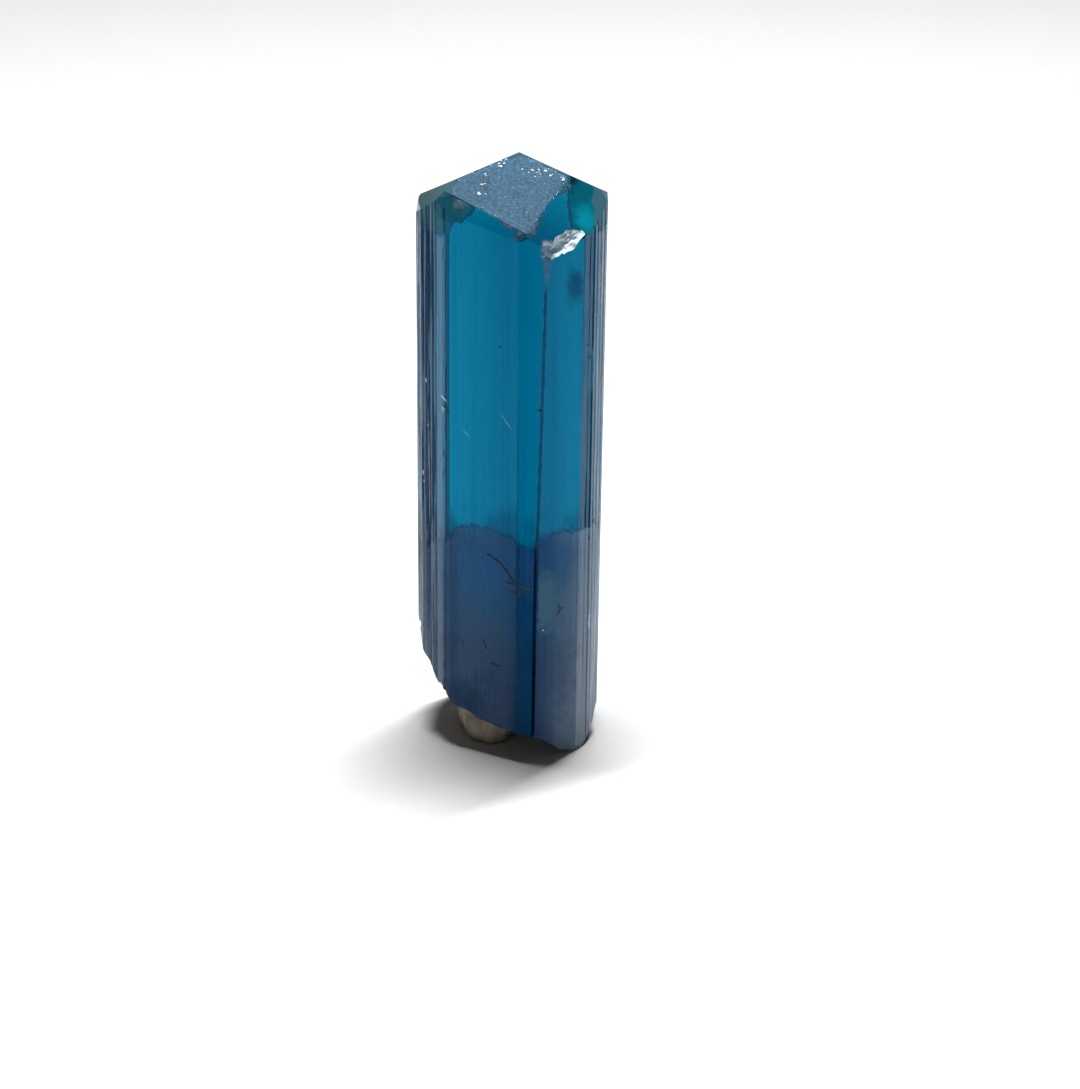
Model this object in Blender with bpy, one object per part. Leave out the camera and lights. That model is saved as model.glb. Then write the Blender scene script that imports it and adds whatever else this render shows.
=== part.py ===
# A see-through blue tourmaline crystal that stands on a small dab of putty.
# The numbers below are millimetres and degrees, and MM turns them into the scene's metres.
# The front is -Y and up is +Z. The crystal's broken end points down.

import math
import random

import bpy
import bmesh
import numpy as np
from mathutils import Matrix, Vector
from mathutils.geometry import delaunay_2d_cdt

MM = 0.001

# The whole crystal
CRYSTAL_HEIGHT = 37.23
APEX = (0.45, 0.29, CRYSTAL_HEIGHT)
TERMINATION_SLOPE = 27.3
TERMINATION_AZIMUTHS = (0.0, 120.0, -120.0)
REFRACTIVE_INDEX = 1.63

# Corners of the cross-section, round from the front left edge, as x at the top, x at the foot and y.
# The groove between the two front right faces leans a little, so those corners move with height.
CORNERS = (
    (-3.55, -3.55, -3.78),
    (0.50, 0.68, -6.10),
    (1.84, 1.64, -6.10),
    (4.32, 4.32, -4.37),
    (4.56, 4.56, -4.03),
    (4.98, 4.98, -3.44),
    (5.17, 5.17, -3.00),
    (5.74, 5.66, -1.50),
    (5.72, 5.64, 1.30),
    (4.75, 4.75, 3.05),
    (1.95, 1.95, 5.27),
    (-1.80, -1.80, 5.23),
    (-4.67, -4.67, 3.13),
    (-5.58, -5.58, 1.57),
    (-5.65, -5.65, -0.47),
    (-5.33, -5.33, -1.57),
    (-4.40, -4.40, -3.00),
    (-3.90, -3.90, -3.52),
)
CENTRE_X = (min(corner[0] for corner in CORNERS) + max(corner[0] for corner in CORNERS)) / 2.0
CENTRE_Y = (min(corner[2] for corner in CORNERS) + max(corner[2] for corner in CORNERS)) / 2.0

# Growth grooves on the side that starts at each corner, as spacing and depth
GROOVES = (
    (0.52, 0.015),
    (0.34, 0.018),
    (0.36, 0.022),
    (0.14, 0.035),
    (0.18, 0.060),
    (0.24, 0.020),
    (0.20, 0.070),
    (0.28, 0.095),
    (0.26, 0.085),
    (0.36, 0.055),
    (0.28, 0.070),
    (0.38, 0.055),
    (0.26, 0.085),
    (0.24, 0.090),
    (0.20, 0.080),
    (0.19, 0.085),
    (0.30, 0.020),
    (0.24, 0.020),
)
GROOVE_SEED = 11

# Deep valleys along an edge: corner number, then width and depth
VALLEYS = {
    2: (0.13, 0.24),
    5: (0.10, 0.16),
    6: (0.10, 0.12),
    16: (0.06, 0.09),
    17: (0.12, 0.15),
}

# Small facets below the three main ones, as azimuth, slope and a point that the facet passes through
SHOULDERS = (
    (35.0, 45.6, (1.84, -6.10, 33.35)),
    (-20.0, 51.6, (-2.05, -3.93, 35.05)),
    (-88.0, 46.0, (-5.18, -0.30, 34.42)),
    (-86.0, 66.0, (-5.52, -0.30, 34.00)),
    (84.0, 50.0, (5.66, -1.50, 34.92)),
    (-140.0, 42.0, (-4.86, 2.85, 33.95)),
)

# The broken end bends through these points. First its rim, round from the left side by the front to the
# right side, then its hollow middle, its hidden back rim and a few points outside the crystal.
BREAK_POINTS = (
    (-5.65, -0.50, 7.46),
    (-5.50, -1.30, 6.09),
    (-5.33, -1.57, 5.67),
    (-4.90, -2.20, 5.13),
    (-4.40, -3.00, 4.20),
    (-3.90, -3.50, 3.55),
    (-3.55, -3.78, 3.15),
    (-3.10, -4.05, 2.89),
    (-1.90, -4.77, 2.46),
    (-0.20, -5.75, 2.00),
    (0.41, -6.10, 1.97),
    (1.73, -6.10, 1.72),
    (3.15, -5.10, 0.60),
    (3.70, -4.73, 0.21),
    (4.20, -4.37, 0.06),
    (4.50, -4.00, 0.08),
    (4.75, -3.65, 0.22),
    (5.02, -3.32, 0.40),
    (5.18, -3.00, 0.62),
    (5.32, -2.40, 0.95),
    (5.52, -1.90, 1.60),
    (5.70, -1.30, 2.20),
    (-3.00, -1.50, 3.70),
    (-1.20, -3.40, 2.80),
    (0.30, -3.60, 2.55),
    (0.00, 0.00, 3.20),
    (2.60, -2.60, 1.60),
    (3.00, 0.20, 2.80),
    (-3.20, 1.60, 5.00),
    (0.00, 3.00, 4.10),
    (3.20, 3.00, 4.30),
    (5.70, 1.40, 4.80),
    (-5.70, 1.70, 8.10),
    (0.00, 5.40, 5.20),
    (4.70, 3.20, 5.30),
    (-4.70, 3.30, 7.00),
    (-8.00, -4.50, 6.60),
    (-8.00, 4.50, 9.60),
    (8.00, -3.00, 2.00),
    (8.00, 4.00, 5.60),
    (0.00, -8.50, 1.60),
    (4.50, -7.50, 0.40),
    (-4.50, -7.00, 3.00),
    (0.00, 8.50, 6.40),
)
BREAK_STIFFNESS = 0.05
BREAK_GRID = 0.42
BREAK_LOWEST = 0.05
BREAK_ROUGHNESS = 0.06
RIPPLE_CENTRE = (-4.2, 2.6)
RIPPLE_LENGTH = 1.15
RIPPLE_HEIGHT = 0.09

# The etched patch on the front face of the termination
ETCH_GRID = 0.31
ETCH_DEPTH = 0.10
ETCH_RIM = 0.55

# The chip on the termination's front right edge, and small nicks on other edges,
# as name, centre, half sizes, tilt and turn
CHIP = ("chip", (3.22, -5.16, 33.38), (1.60, 0.46, 0.52), 18.0, 35.0)
NICKS = (
    ("nick_left_ledge", (-5.66, -1.02, 7.05), (0.30, 0.42, 0.34), 0.0, 0.0),
    ("nick_left_foot", (-4.20, -3.30, 3.86), (0.22, 0.20, 0.30), 0.0, 45.0),
    ("nick_strip", (-4.02, -3.46, 22.30), (0.16, 0.13, 0.24), 0.0, 45.0),
    ("nick_rib", (5.08, -3.24, 8.30), (0.16, 0.15, 0.55), 0.0, 20.0),
    ("nick_shoulder", (-4.05, -3.30, 34.75), (0.34, 0.26, 0.20), 0.0, 40.0),
    ("nick_back", (-4.75, 3.05, 24.0), (0.26, 0.30, 0.60), 0.0, 30.0),
)

# The putty dab: how far it reaches in each direction, and its bulging side as share of reach and of height
PUTTY_CENTRE = (-0.55, -0.55)
PUTTY_REACH = ((0, 2.9), (45, 3.0), (90, 3.0), (135, 3.1), (180, 2.60), (208, 2.65), (238, 3.25), (262, 3.45),
               (276, 3.15), (292, 2.3), (320, 2.2), (342, 2.6), (360, 2.9))
PUTTY_SIDE = ((0.90, 0.0), (1.0, 0.22), (1.02, 0.45), (0.97, 0.72), (0.86, 1.0))
PUTTY_TOP = (0.68, 0.48, 0.26)
PUTTY_GAP = 0.30
PUTTY_SPOKES = 40


def clear_scene():
    for thing in list(bpy.data.objects):
        bpy.data.objects.remove(thing, do_unlink=True)


def make_material(name, colour, roughness, transmission):
    material = bpy.data.materials.new(name)
    material.use_nodes = True
    shader = material.node_tree.nodes["Principled BSDF"]
    shader.inputs["Base Color"].default_value = colour
    shader.inputs["Roughness"].default_value = roughness
    shader.inputs["Metallic"].default_value = 0.0
    shader.inputs["Transmission Weight"].default_value = transmission
    shader.inputs["IOR"].default_value = REFRACTIVE_INDEX
    return material


def place(x, y, z):
    # From the drawing's millimetres to metres, with the crystal's box centred on the origin
    return Vector(((x - CENTRE_X) * MM, (y - CENTRE_Y) * MM, z * MM))


def finish_object(name, body, material=None):
    bmesh.ops.recalc_face_normals(body, faces=body.faces)
    mesh = bpy.data.meshes.new(name)
    body.to_mesh(mesh)
    body.free()
    thing = bpy.data.objects.new(name, mesh)
    bpy.context.scene.collection.objects.link(thing)
    if material is not None:
        mesh.materials.append(material)
    return thing


def wave_noise(x, y, seed, length):
    # Smooth noise from a few crossing waves, between about -1 and 1
    rng = random.Random(seed)
    total = 0.0
    for _ in range(6):
        angle = rng.uniform(0.0, math.tau)
        phase = rng.uniform(0.0, math.tau)
        step = math.tau / (length * rng.uniform(0.6, 1.6))
        total += math.sin((x * math.cos(angle) + y * math.sin(angle)) * step + phase)
    return total / 3.0


# The break surface is a thin plate bent through its points, with ripples round one corner

def solve_break():
    points = np.array(BREAK_POINTS)
    plan = points[:, :2]
    count = len(points)
    gap = np.linalg.norm(plan[:, None, :] - plan[None, :, :], axis=2)
    kernel = np.where(gap > 0, gap ** 2 * np.log(np.maximum(gap, 1e-9)), 0.0)
    kernel += np.eye(count) * BREAK_STIFFNESS
    flat = np.hstack([np.ones((count, 1)), plan])
    system = np.block([[kernel, flat], [flat.T, np.zeros((3, 3))]])
    target = np.concatenate([points[:, 2], np.zeros(3)])
    return plan, np.linalg.solve(system, target)


BREAK_PLAN, BREAK_WEIGHTS = solve_break()


def break_height(x, y):
    gap = np.maximum(np.hypot(BREAK_PLAN[:, 0] - x, BREAK_PLAN[:, 1] - y), 1e-9)
    bend = gap ** 2 * np.log(gap)
    level, slope_x, slope_y = BREAK_WEIGHTS[-3:]
    height = bend @ BREAK_WEIGHTS[:-3] + level + slope_x * x + slope_y * y
    ring = math.hypot(x - RIPPLE_CENTRE[0], y - RIPPLE_CENTRE[1]) + 0.35 * wave_noise(x, y, 3, 6.0)
    fade = max(0.0, 1.0 - max(0.0, ring - 7.0) / 3.0)
    height += RIPPLE_HEIGHT * math.sin(ring * math.tau / RIPPLE_LENGTH) * fade
    height += BREAK_ROUGHNESS * wave_noise(x, y, 8, 1.7)
    return max(float(height), BREAK_LOWEST)


# The etched patch lies a little below the front termination face and fades out at its rim

def front_face_height(x, y):
    return APEX[2] + (y - APEX[1]) * math.tan(math.radians(TERMINATION_SLOPE))


def etch_border(x, y):
    # Positive inside the patch: the distance from its rim
    right = 3.10 + 0.42 * wave_noise(y, 0.0, 21, 2.6) + 0.28 * (y + 3.0)
    left = -4.0 - 0.25 * (y + 3.0)
    foot = -6.6 + (0.45 * (x - 0.9) ** 2 if x > 0.9 else 0.52 * (0.9 - x))
    top = -0.35 + 0.5 * wave_noise(x, 0.0, 22, 2.4)
    return min(right - x, x - left, y - foot, top - y)


def etch_height(x, y):
    inside = max(0.0, min(1.0, etch_border(x, y) / ETCH_RIM))
    relief = 0.55 + 0.45 * wave_noise(x, y, 5, 1.3)
    return front_face_height(x, y) - ETCH_DEPTH * inside * relief


# The striated prism

def inward_normal(start, end):
    run = math.hypot(end[0] - start[0], end[2] - start[2])
    return -(end[2] - start[2]) / run, (end[0] - start[0]) / run


def along_side(start, end, share, dip, inward):
    # A point of the side between two corners, sunk inward by dip
    return tuple(start[axis] + (end[axis] - start[axis]) * share + push * dip
                 for axis, push in enumerate((inward[0], inward[0], inward[1])))


def valley_floor(before, corner, after, depth):
    first = inward_normal(before, corner)
    second = inward_normal(corner, after)
    both = (first[0] + second[0], first[1] + second[1])
    size = math.hypot(*both)
    return along_side(corner, corner, 0.0, depth, (both[0] / size, both[1] / size))


def grooved_outline():
    # Each groove is a ridge point on the face and a valley point sunk a little into it
    rng = random.Random(GROOVE_SEED)
    outline = []
    count = len(CORNERS)
    for index, start in enumerate(CORNERS):
        end = CORNERS[(index + 1) % count]
        spacing, depth = GROOVES[index]
        inward = inward_normal(start, end)
        run = math.hypot(end[0] - start[0], end[2] - start[2])
        first = VALLEYS[index][0] / run if index in VALLEYS else 0.0
        last = 1.0 - (VALLEYS[(index + 1) % count][0] / run if (index + 1) % count in VALLEYS else 0.0)
        if index in VALLEYS:
            outline.append(valley_floor(CORNERS[index - 1], start, end, VALLEYS[index][1]))
        steps = max(1, round((last - first) * run / spacing))
        marks = [(step + rng.uniform(-0.28, 0.28)) / steps for step in range(1, steps)]
        ridges = [0.0] + marks + [1.0]
        for low, high in zip(ridges, ridges[1:]):
            ridge = first + low * (last - first)
            groove = first + (low + (high - low) * rng.uniform(0.25, 0.6)) * (last - first)
            outline.append(along_side(start, end, ridge, 0.0, inward))
            outline.append(along_side(start, end, groove, depth * rng.uniform(0.35, 1.0), inward))
        if last < 1.0:
            outline.append(along_side(start, end, last, 0.0, inward))
    return outline


def plane_normal(azimuth, slope):
    turn = math.radians(azimuth)
    tilt = math.radians(slope)
    return Vector((math.sin(turn) * math.sin(tilt), -math.cos(turn) * math.sin(tilt), math.cos(tilt)))


# A rough face is a sheet of triangles between a closed rim and scattered points on its surface

def rim_distance(x, y, rim):
    step = np.roll(rim, -1, axis=0) - rim
    along = ((x - rim[:, 0]) * step[:, 0] + (y - rim[:, 1]) * step[:, 1]) / (step ** 2).sum(axis=1)
    along = np.clip(along, 0.0, 1.0)
    return np.hypot(rim[:, 0] + along * step[:, 0] - x, rim[:, 1] + along * step[:, 1] - y).min()


def scatter_inside(rim, spacing, seed):
    rng = random.Random(seed)
    low_x, low_y = rim.min(axis=0)
    high_x, high_y = rim.max(axis=0)
    spots = []
    for row in range(math.ceil((high_y - low_y) / spacing)):
        for column in range(math.ceil((high_x - low_x) / spacing)):
            x = low_x + (column + rng.uniform(-0.3, 0.3)) * spacing
            y = low_y + (row + rng.uniform(-0.3, 0.3)) * spacing
            if rim_distance(x, y, rim) > spacing * 0.45:
                spots.append(Vector((x, y)))
    return spots


def fill_rough(body, rim_vertices, spacing, surface, seed):
    rim = np.array([(vertex.co.x / MM + CENTRE_X, vertex.co.y / MM + CENTRE_Y) for vertex in rim_vertices])
    count = len(rim)
    plan = [Vector((float(x), float(y))) for x, y in rim] + scatter_inside(rim, spacing, seed)
    spots, _, triangles, sources, _, _ = delaunay_2d_cdt(plan, [], [list(range(count))], 1, 1e-7)
    used = {index for triangle in triangles for index in triangle}
    corners = {}
    for index in used:
        source = sources[index][0] if sources[index] else count
        spot = spots[index]
        if source < count:
            corners[index] = rim_vertices[source]
        else:
            corners[index] = body.verts.new(place(spot.x, spot.y, surface(spot.x, spot.y)))
    for triangle in triangles:
        body.faces.new([corners[index] for index in triangle])


def make_crystal(material):
    body = bmesh.new()
    high = CRYSTAL_HEIGHT + 2.0
    foot_ring = []
    top_ring = []
    for top, foot, side in grooved_outline():
        low = break_height(foot, side)
        lean = (top - foot) / CRYSTAL_HEIGHT
        foot_ring.append(body.verts.new(place(foot + lean * low, side, low)))
        top_ring.append(body.verts.new(place(foot + lean * high, side, high)))
    body.faces.new(top_ring)
    for index in range(len(foot_ring)):
        body.faces.new((foot_ring[index - 1], foot_ring[index], top_ring[index], top_ring[index - 1]))
    fill_rough(body, foot_ring, BREAK_GRID, break_height, 6)
    planes = [(azimuth, TERMINATION_SLOPE, APEX) for azimuth in TERMINATION_AZIMUTHS]
    planes.extend(SHOULDERS)
    for azimuth, slope, through in planes:
        parts = body.verts[:] + body.edges[:] + body.faces[:]
        cut = bmesh.ops.bisect_plane(body, geom=parts, plane_co=place(*through),
                                     plane_no=plane_normal(azimuth, slope), clear_outer=True)
        rim = [part for part in cut["geom_cut"] if isinstance(part, bmesh.types.BMEdge)]
        bmesh.ops.edgeloop_fill(body, edges=rim)
    body.normal_update()
    front = plane_normal(0.0, TERMINATION_SLOPE)
    etched = max(body.faces, key=lambda face: abs(face.normal.dot(front)) ** 20 * face.calc_area())
    rim_vertices = list(etched.verts)
    bmesh.ops.delete(body, geom=[etched], context="FACES_ONLY")
    fill_rough(body, rim_vertices, ETCH_GRID, etch_height, 7)
    return finish_object("crystal", body, material)


# The chip and the nicks are cut by lumpy pebbles

def cut_pebble(body, pebble, seed, finer):
    name, centre, size, tilt, turn = pebble
    rng = random.Random(seed)
    lumps = bmesh.new()
    bmesh.ops.create_icosphere(lumps, subdivisions=finer, radius=1.0)
    spin = Matrix.Rotation(math.radians(turn), 3, "Z") @ Matrix.Rotation(math.radians(-tilt), 3, "Y")
    for vertex in lumps.verts:
        swell = 1.0 + rng.uniform(-0.16, 0.16)
        local = spin @ Vector(vertex.co[axis] * size[axis] * swell for axis in range(3))
        vertex.co = place(centre[0] + local.x, centre[1] + local.y, centre[2] + local.z)
    cutter = finish_object("cut_" + name, lumps)
    cutter.hide_render = True
    cutter.display_type = "WIRE"
    modifier = body.modifiers.new(name, "BOOLEAN")
    modifier.operation = "DIFFERENCE"
    modifier.solver = "EXACT"
    modifier.object = cutter


# The putty follows the break surface from below and bulges out round its rim

def putty_reach(angle):
    degrees = math.degrees(angle) % 360.0
    for (low, first), (high, second) in zip(PUTTY_REACH, PUTTY_REACH[1:]):
        if low <= degrees <= high:
            blend = (degrees - low) / (high - low)
            return first + (second - first) * blend * blend * (3.0 - 2.0 * blend)
    return PUTTY_REACH[0][1]


def putty_ring(body, share, level, waver):
    ring = []
    for spoke in range(PUTTY_SPOKES):
        angle = math.tau * spoke / PUTTY_SPOKES
        reach = putty_reach(angle) * share * (1.0 + waver * wave_noise(angle * 3.0, level * 2.0, 31, 2.0))
        x = PUTTY_CENTRE[0] + reach * math.cos(angle)
        y = PUTTY_CENTRE[1] + reach * math.sin(angle)
        ring.append(body.verts.new(place(x, y, (break_height(x, y) - PUTTY_GAP) * level)))
    return ring


def make_putty(material):
    body = bmesh.new()
    rings = [putty_ring(body, share, level, 0.02) for share, level in PUTTY_SIDE]
    rings.extend(putty_ring(body, share, 1.0, 0.0) for share in PUTTY_TOP)
    for lower, upper in zip(rings, rings[1:]):
        for spoke in range(PUTTY_SPOKES):
            body.faces.new((lower[spoke - 1], lower[spoke], upper[spoke]))
            body.faces.new((lower[spoke - 1], upper[spoke], upper[spoke - 1]))
    crown = body.verts.new(place(*PUTTY_CENTRE, break_height(*PUTTY_CENTRE) - PUTTY_GAP))
    for spoke in range(PUTTY_SPOKES):
        body.faces.new((rings[-1][spoke - 1], rings[-1][spoke], crown))
    body.faces.new(rings[0])
    return finish_object("putty_dab", body, material)


clear_scene()
crystal = make_crystal(make_material("tourmaline", (0.01, 0.22, 0.34, 1.0), 0.06, 0.9))
cut_pebble(crystal, CHIP, 4, 3)
for number, nick in enumerate(NICKS):
    cut_pebble(crystal, nick, 40 + number, 2)
make_putty(make_material("putty", (0.46, 0.40, 0.33, 1.0), 0.62, 0.0))
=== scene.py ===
import math
import random

import bpy
import bmesh
import numpy as np
from mathutils import Matrix, Vector
from mathutils.geometry import delaunay_2d_cdt


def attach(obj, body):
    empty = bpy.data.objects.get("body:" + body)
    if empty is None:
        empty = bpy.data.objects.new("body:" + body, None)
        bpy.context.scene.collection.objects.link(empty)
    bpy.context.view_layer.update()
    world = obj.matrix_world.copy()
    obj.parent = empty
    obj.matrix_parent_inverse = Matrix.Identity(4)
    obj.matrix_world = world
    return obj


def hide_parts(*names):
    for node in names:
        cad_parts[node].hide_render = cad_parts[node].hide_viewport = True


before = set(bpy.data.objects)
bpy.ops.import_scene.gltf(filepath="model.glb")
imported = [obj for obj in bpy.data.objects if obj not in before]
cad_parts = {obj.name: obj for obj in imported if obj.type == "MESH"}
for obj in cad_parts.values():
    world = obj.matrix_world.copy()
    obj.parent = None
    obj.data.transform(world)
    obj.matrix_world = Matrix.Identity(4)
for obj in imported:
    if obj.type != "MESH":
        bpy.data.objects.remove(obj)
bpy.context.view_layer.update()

# A see-through blue tourmaline that stands on a dab of putty, on white under one soft light.
# Lengths in the dictionaries are the drawing's millimetres, and place() turns them into the frame.

mm = 0.001
drawingCentre = (0.045, -0.415)


def place(x, y, z):
    return Vector(((x - drawingCentre[0]) * mm, (y - drawingCentre[1]) * mm, z * mm))


def drawingPlan(spot):
    return spot.x / mm + drawingCentre[0], spot.y / mm + drawingCentre[1]


# the crystal's shape

prism = {
    "height": 37.23,
    "apex": (0.45, 0.29),
    "slope": 27.3,
    "azimuths": (0.0, 120.0, -120.0),
    # x at the top, x at the foot and y, round from the front left edge
    "corners": (
        (-3.55, -3.55, -3.78), (0.5, 0.68, -6.1), (1.84, 1.64, -6.1), (4.32, 4.32, -4.37),
        (4.56, 4.56, -4.03), (4.98, 4.98, -3.44), (5.17, 5.17, -3.0), (5.74, 5.66, -1.5), (5.72, 5.64, 1.3),
        (4.75, 4.75, 3.05), (1.95, 1.95, 5.27), (-1.8, -1.8, 5.23), (-4.67, -4.67, 3.13),
        (-5.58, -5.58, 1.57), (-5.65, -5.65, -0.47), (-5.33, -5.33, -1.57), (-4.4, -4.4, -3.0),
        (-3.9, -3.9, -3.52),
    ),
    # groove spacing and depth of the side that starts at each corner
    "grooves": (
        (0.42, 0.004), (0.3, 0.005), (0.32, 0.006), (0.1, 0.026), (0.12, 0.03), (0.14, 0.016),
        (0.14, 0.045), (0.2, 0.04), (0.22, 0.036), (0.3, 0.022), (0.28, 0.016), (0.34, 0.016), (0.22, 0.03),
        (0.18, 0.04), (0.14, 0.045), (0.12, 0.048), (0.2, 0.01), (0.16, 0.01),
    ),
    # a valley along a corner: width and depth
    "valleys": {2: (0.13, 0.24), 5: (0.1, 0.16), 6: (0.1, 0.12), 16: (0.06, 0.09), 17: (0.12, 0.15)},
    # two wide bevels below the front end face, and small facets at the sides: azimuth, slope
    # and a point on each
    "bevels": ((35.0, 45.6, (1.84, -6.1, 33.35)), (-20.0, 51.6, (-2.05, -3.93, 35.05))),
    "shoulders": (
        (-88.0, 46.0, (-5.18, -0.3, 34.42)), (-86.0, 66.0, (-5.52, -0.3, 34.0)),
        (84.0, 50.0, (5.66, -1.5, 34.92)), (-140.0, 42.0, (-4.86, 2.85, 33.95)),
    ),
    # the valley right of the front edge is deep only in the cloudy part: its corner, the height
    # where it starts to fade, the length of the fade and the share of the depth that is left
    "fadingValley": (2, 16.0, 2.5, 0.3),
    "valleySteadiness": 0.75,  # a valley fades less along its length than a groove
    "rows": 46,
    "spareLength": 2.0,  # above the apex, for the planes of the point to cut off
    "grooveFade": 7.0,  # how far a groove runs before it fades
    "grooveUnevenness": 0.75,
    "seed": 11,
}

# the broken end bends through these points
breakage = {
    "points": (
        (-5.65, -0.5, 7.46), (-5.5, -1.3, 6.09), (-5.33, -1.57, 5.67), (-4.9, -2.2, 5.13),
        (-4.4, -3.0, 4.2), (-3.9, -3.5, 3.55), (-3.55, -3.78, 3.15), (-3.1, -4.05, 2.89),
        (-1.9, -4.77, 2.46), (-0.2, -5.75, 2.0), (0.41, -6.1, 1.97), (1.73, -6.1, 1.72), (3.15, -5.1, 0.6),
        (3.7, -4.73, 0.21), (4.2, -4.37, 0.06), (4.5, -4.0, 0.08), (4.75, -3.65, 0.22), (5.02, -3.32, 0.4),
        (5.18, -3.0, 0.62), (5.32, -2.4, 0.95), (5.52, -1.9, 1.6), (5.7, -1.3, 2.2), (-3.0, -1.5, 3.7),
        (-1.2, -3.4, 2.8), (0.3, -3.6, 2.55), (0.0, 0.0, 3.2), (2.6, -2.6, 1.6), (3.0, 0.2, 2.8),
        (-3.2, 1.6, 5.0), (0.0, 3.0, 4.1), (3.2, 3.0, 4.3), (5.7, 1.4, 4.8), (-5.7, 1.7, 8.1),
        (0.0, 5.4, 5.2), (4.7, 3.2, 5.3), (-4.7, 3.3, 7.0), (-8.0, -4.5, 6.6), (-8.0, 4.5, 9.6),
        (8.0, -3.0, 2.0), (8.0, 4.0, 5.6), (0.0, -8.5, 1.6), (4.5, -7.5, 0.4), (-4.5, -7.0, 3.0),
        (0.0, 8.5, 6.4),
    ),
    "stiffness": 0.05,
    "lowest": 0.05,
    "roughness": 0.06,
    "rippleCentre": (-4.2, 2.6),
    "rippleLength": 1.15,
    "rippleHeight": 0.09,
    "rippleReach": 7.0,
    "rippleFade": 3.0,
    "rippleWaver": 0.35,
    "fineRipple": 0.018,
    "waveLengths": (6.0, 1.7, 0.55),  # of the waver, the roughness and the fine ripple
    "spacing": 0.2,
}

etching = {
    "depth": 0.1,
    "rim": 0.55,
    "spacing": 0.115,
    "grain": 0.011,
    "fineWave": 0.022,
    "relief": (0.55, 0.45),  # the share of the depth that is always there, and the one that varies
    "waveLengths": (1.3, 0.42),
    # the etched patch in plan, round from the apex by the right
    "outline": (
        (0.44, 0.1), (1.4, -0.4), (2.29, -0.98), (3.23, -1.52), (3.6, -1.95), (2.95, -2.52), (2.3, -3.3),
        (1.85, -4.55), (1.42, -5.5), (0.88, -5.98), (0.45, -5.85), (0.0, -5.45), (-0.58, -4.87),
        (-1.17, -4.32), (-2.05, -3.93), (-3.0, -3.7), (-3.5, -3.0), (-3.4, -2.15), (-2.9, -1.72),
        (-1.83, -1.05), (-0.67, -0.34),
    ),
}

# lumpy pebbles that cut the chip and the nicks: centre, half sizes, tilt and turn
chips = {
    "chip": ((3.38, -5.06, 33.4), (1.75, 0.55, 0.56), 25.0, 35.0),
    "nicks": (
        ((-5.66, -1.02, 7.05), (0.3, 0.42, 0.34), 0.0, 0.0),
        ((-4.2, -3.3, 3.86), (0.22, 0.2, 0.3), 0.0, 45.0),
        ((-4.02, -3.46, 22.3), (0.16, 0.13, 0.24), 0.0, 45.0),
        ((5.08, -3.24, 8.3), (0.16, 0.15, 0.55), 0.0, 20.0),
    ),
    "lumps": 0.13,
    "smallLumps": 0.35,  # as a share of the lumps
    "chipRoughness": 0.05,
    "jitter": 0.02,
}

waveTables = {}


def waveNoise(x, y, seed, length):
    # smooth noise from six crossing waves, about -1 to 1
    if (seed, length) not in waveTables:
        rng = random.Random(seed)
        waves = []
        for _ in range(6):
            angle = rng.uniform(0.0, math.tau)
            phase = rng.uniform(0.0, math.tau)
            step = math.tau / (length * rng.uniform(0.6, 1.6))
            waves.append((math.cos(angle) * step, math.sin(angle) * step, phase))
        waveTables[(seed, length)] = waves
    return sum(math.sin(x * across + y * along + phase)
               for across, along, phase in waveTables[(seed, length)]) / 3.0


def solveBreak():
    points = np.array(breakage["points"])
    plan = points[:, :2]
    count = len(points)
    gap = np.linalg.norm(plan[:, None, :] - plan[None, :, :], axis=2)
    kernel = np.where(gap > 0, gap ** 2 * np.log(np.maximum(gap, 1e-9)), 0.0)
    kernel += np.eye(count) * breakage["stiffness"]
    flat = np.hstack([np.ones((count, 1)), plan])
    system = np.block([[kernel, flat], [flat.T, np.zeros((3, 3))]])
    return plan, np.linalg.solve(system, np.concatenate([points[:, 2], np.zeros(3)]))


breakPlan, breakWeights = solveBreak()


def breakHeight(x, y):
    gap = np.maximum(np.hypot(breakPlan[:, 0] - x, breakPlan[:, 1] - y), 1e-9)
    level, slopeX, slopeY = breakWeights[-3:]
    height = float((gap ** 2 * np.log(gap)) @ breakWeights[:-3] + level + slopeX * x + slopeY * y)
    ring = math.hypot(x - breakage["rippleCentre"][0], y - breakage["rippleCentre"][1])
    waverLength, roughLength, fineLength = breakage["waveLengths"]
    ring += breakage["rippleWaver"] * waveNoise(x, y, 3, waverLength)
    fade = max(0.0, 1.0 - max(0.0, ring - breakage["rippleReach"]) / breakage["rippleFade"])
    height += breakage["rippleHeight"] * math.sin(ring * math.tau / breakage["rippleLength"]) * fade
    height += breakage["roughness"] * waveNoise(x, y, 8, roughLength)
    height += breakage["fineRipple"] * waveNoise(x, y, 9, fineLength)  # finer than the solid's
    return max(height, breakage["lowest"])


def frontFaceHeight(y):
    return prism["height"] + (y - prism["apex"][1]) * math.tan(math.radians(prism["slope"]))


def bevelHeight(bevel, x, y):
    azimuth, slope, (throughX, throughY, throughZ) = bevel
    normal = planeNormal(azimuth, slope)
    return throughZ - (normal.x * (x - throughX) + normal.y * (y - throughY)) / normal.z


def etchBorder(x, y):
    # inside the etched patch this is the distance from its rim, outside it is below zero
    rim = etching["outline"]
    inside = False
    least = 1e9
    for (startX, startY), (endX, endY) in zip(rim, rim[1:] + rim[:1]):
        stepX, stepY = endX - startX, endY - startY
        along = ((x - startX) * stepX + (y - startY) * stepY) / (stepX ** 2 + stepY ** 2)
        along = min(1.0, max(0.0, along))
        least = min(least, math.hypot(startX + along * stepX - x, startY + along * stepY - y))
        if (startY > y) != (endY > y) and x < startX + stepX * (y - startY) / stepY:
            inside = not inside
    return least if inside else -least


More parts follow.
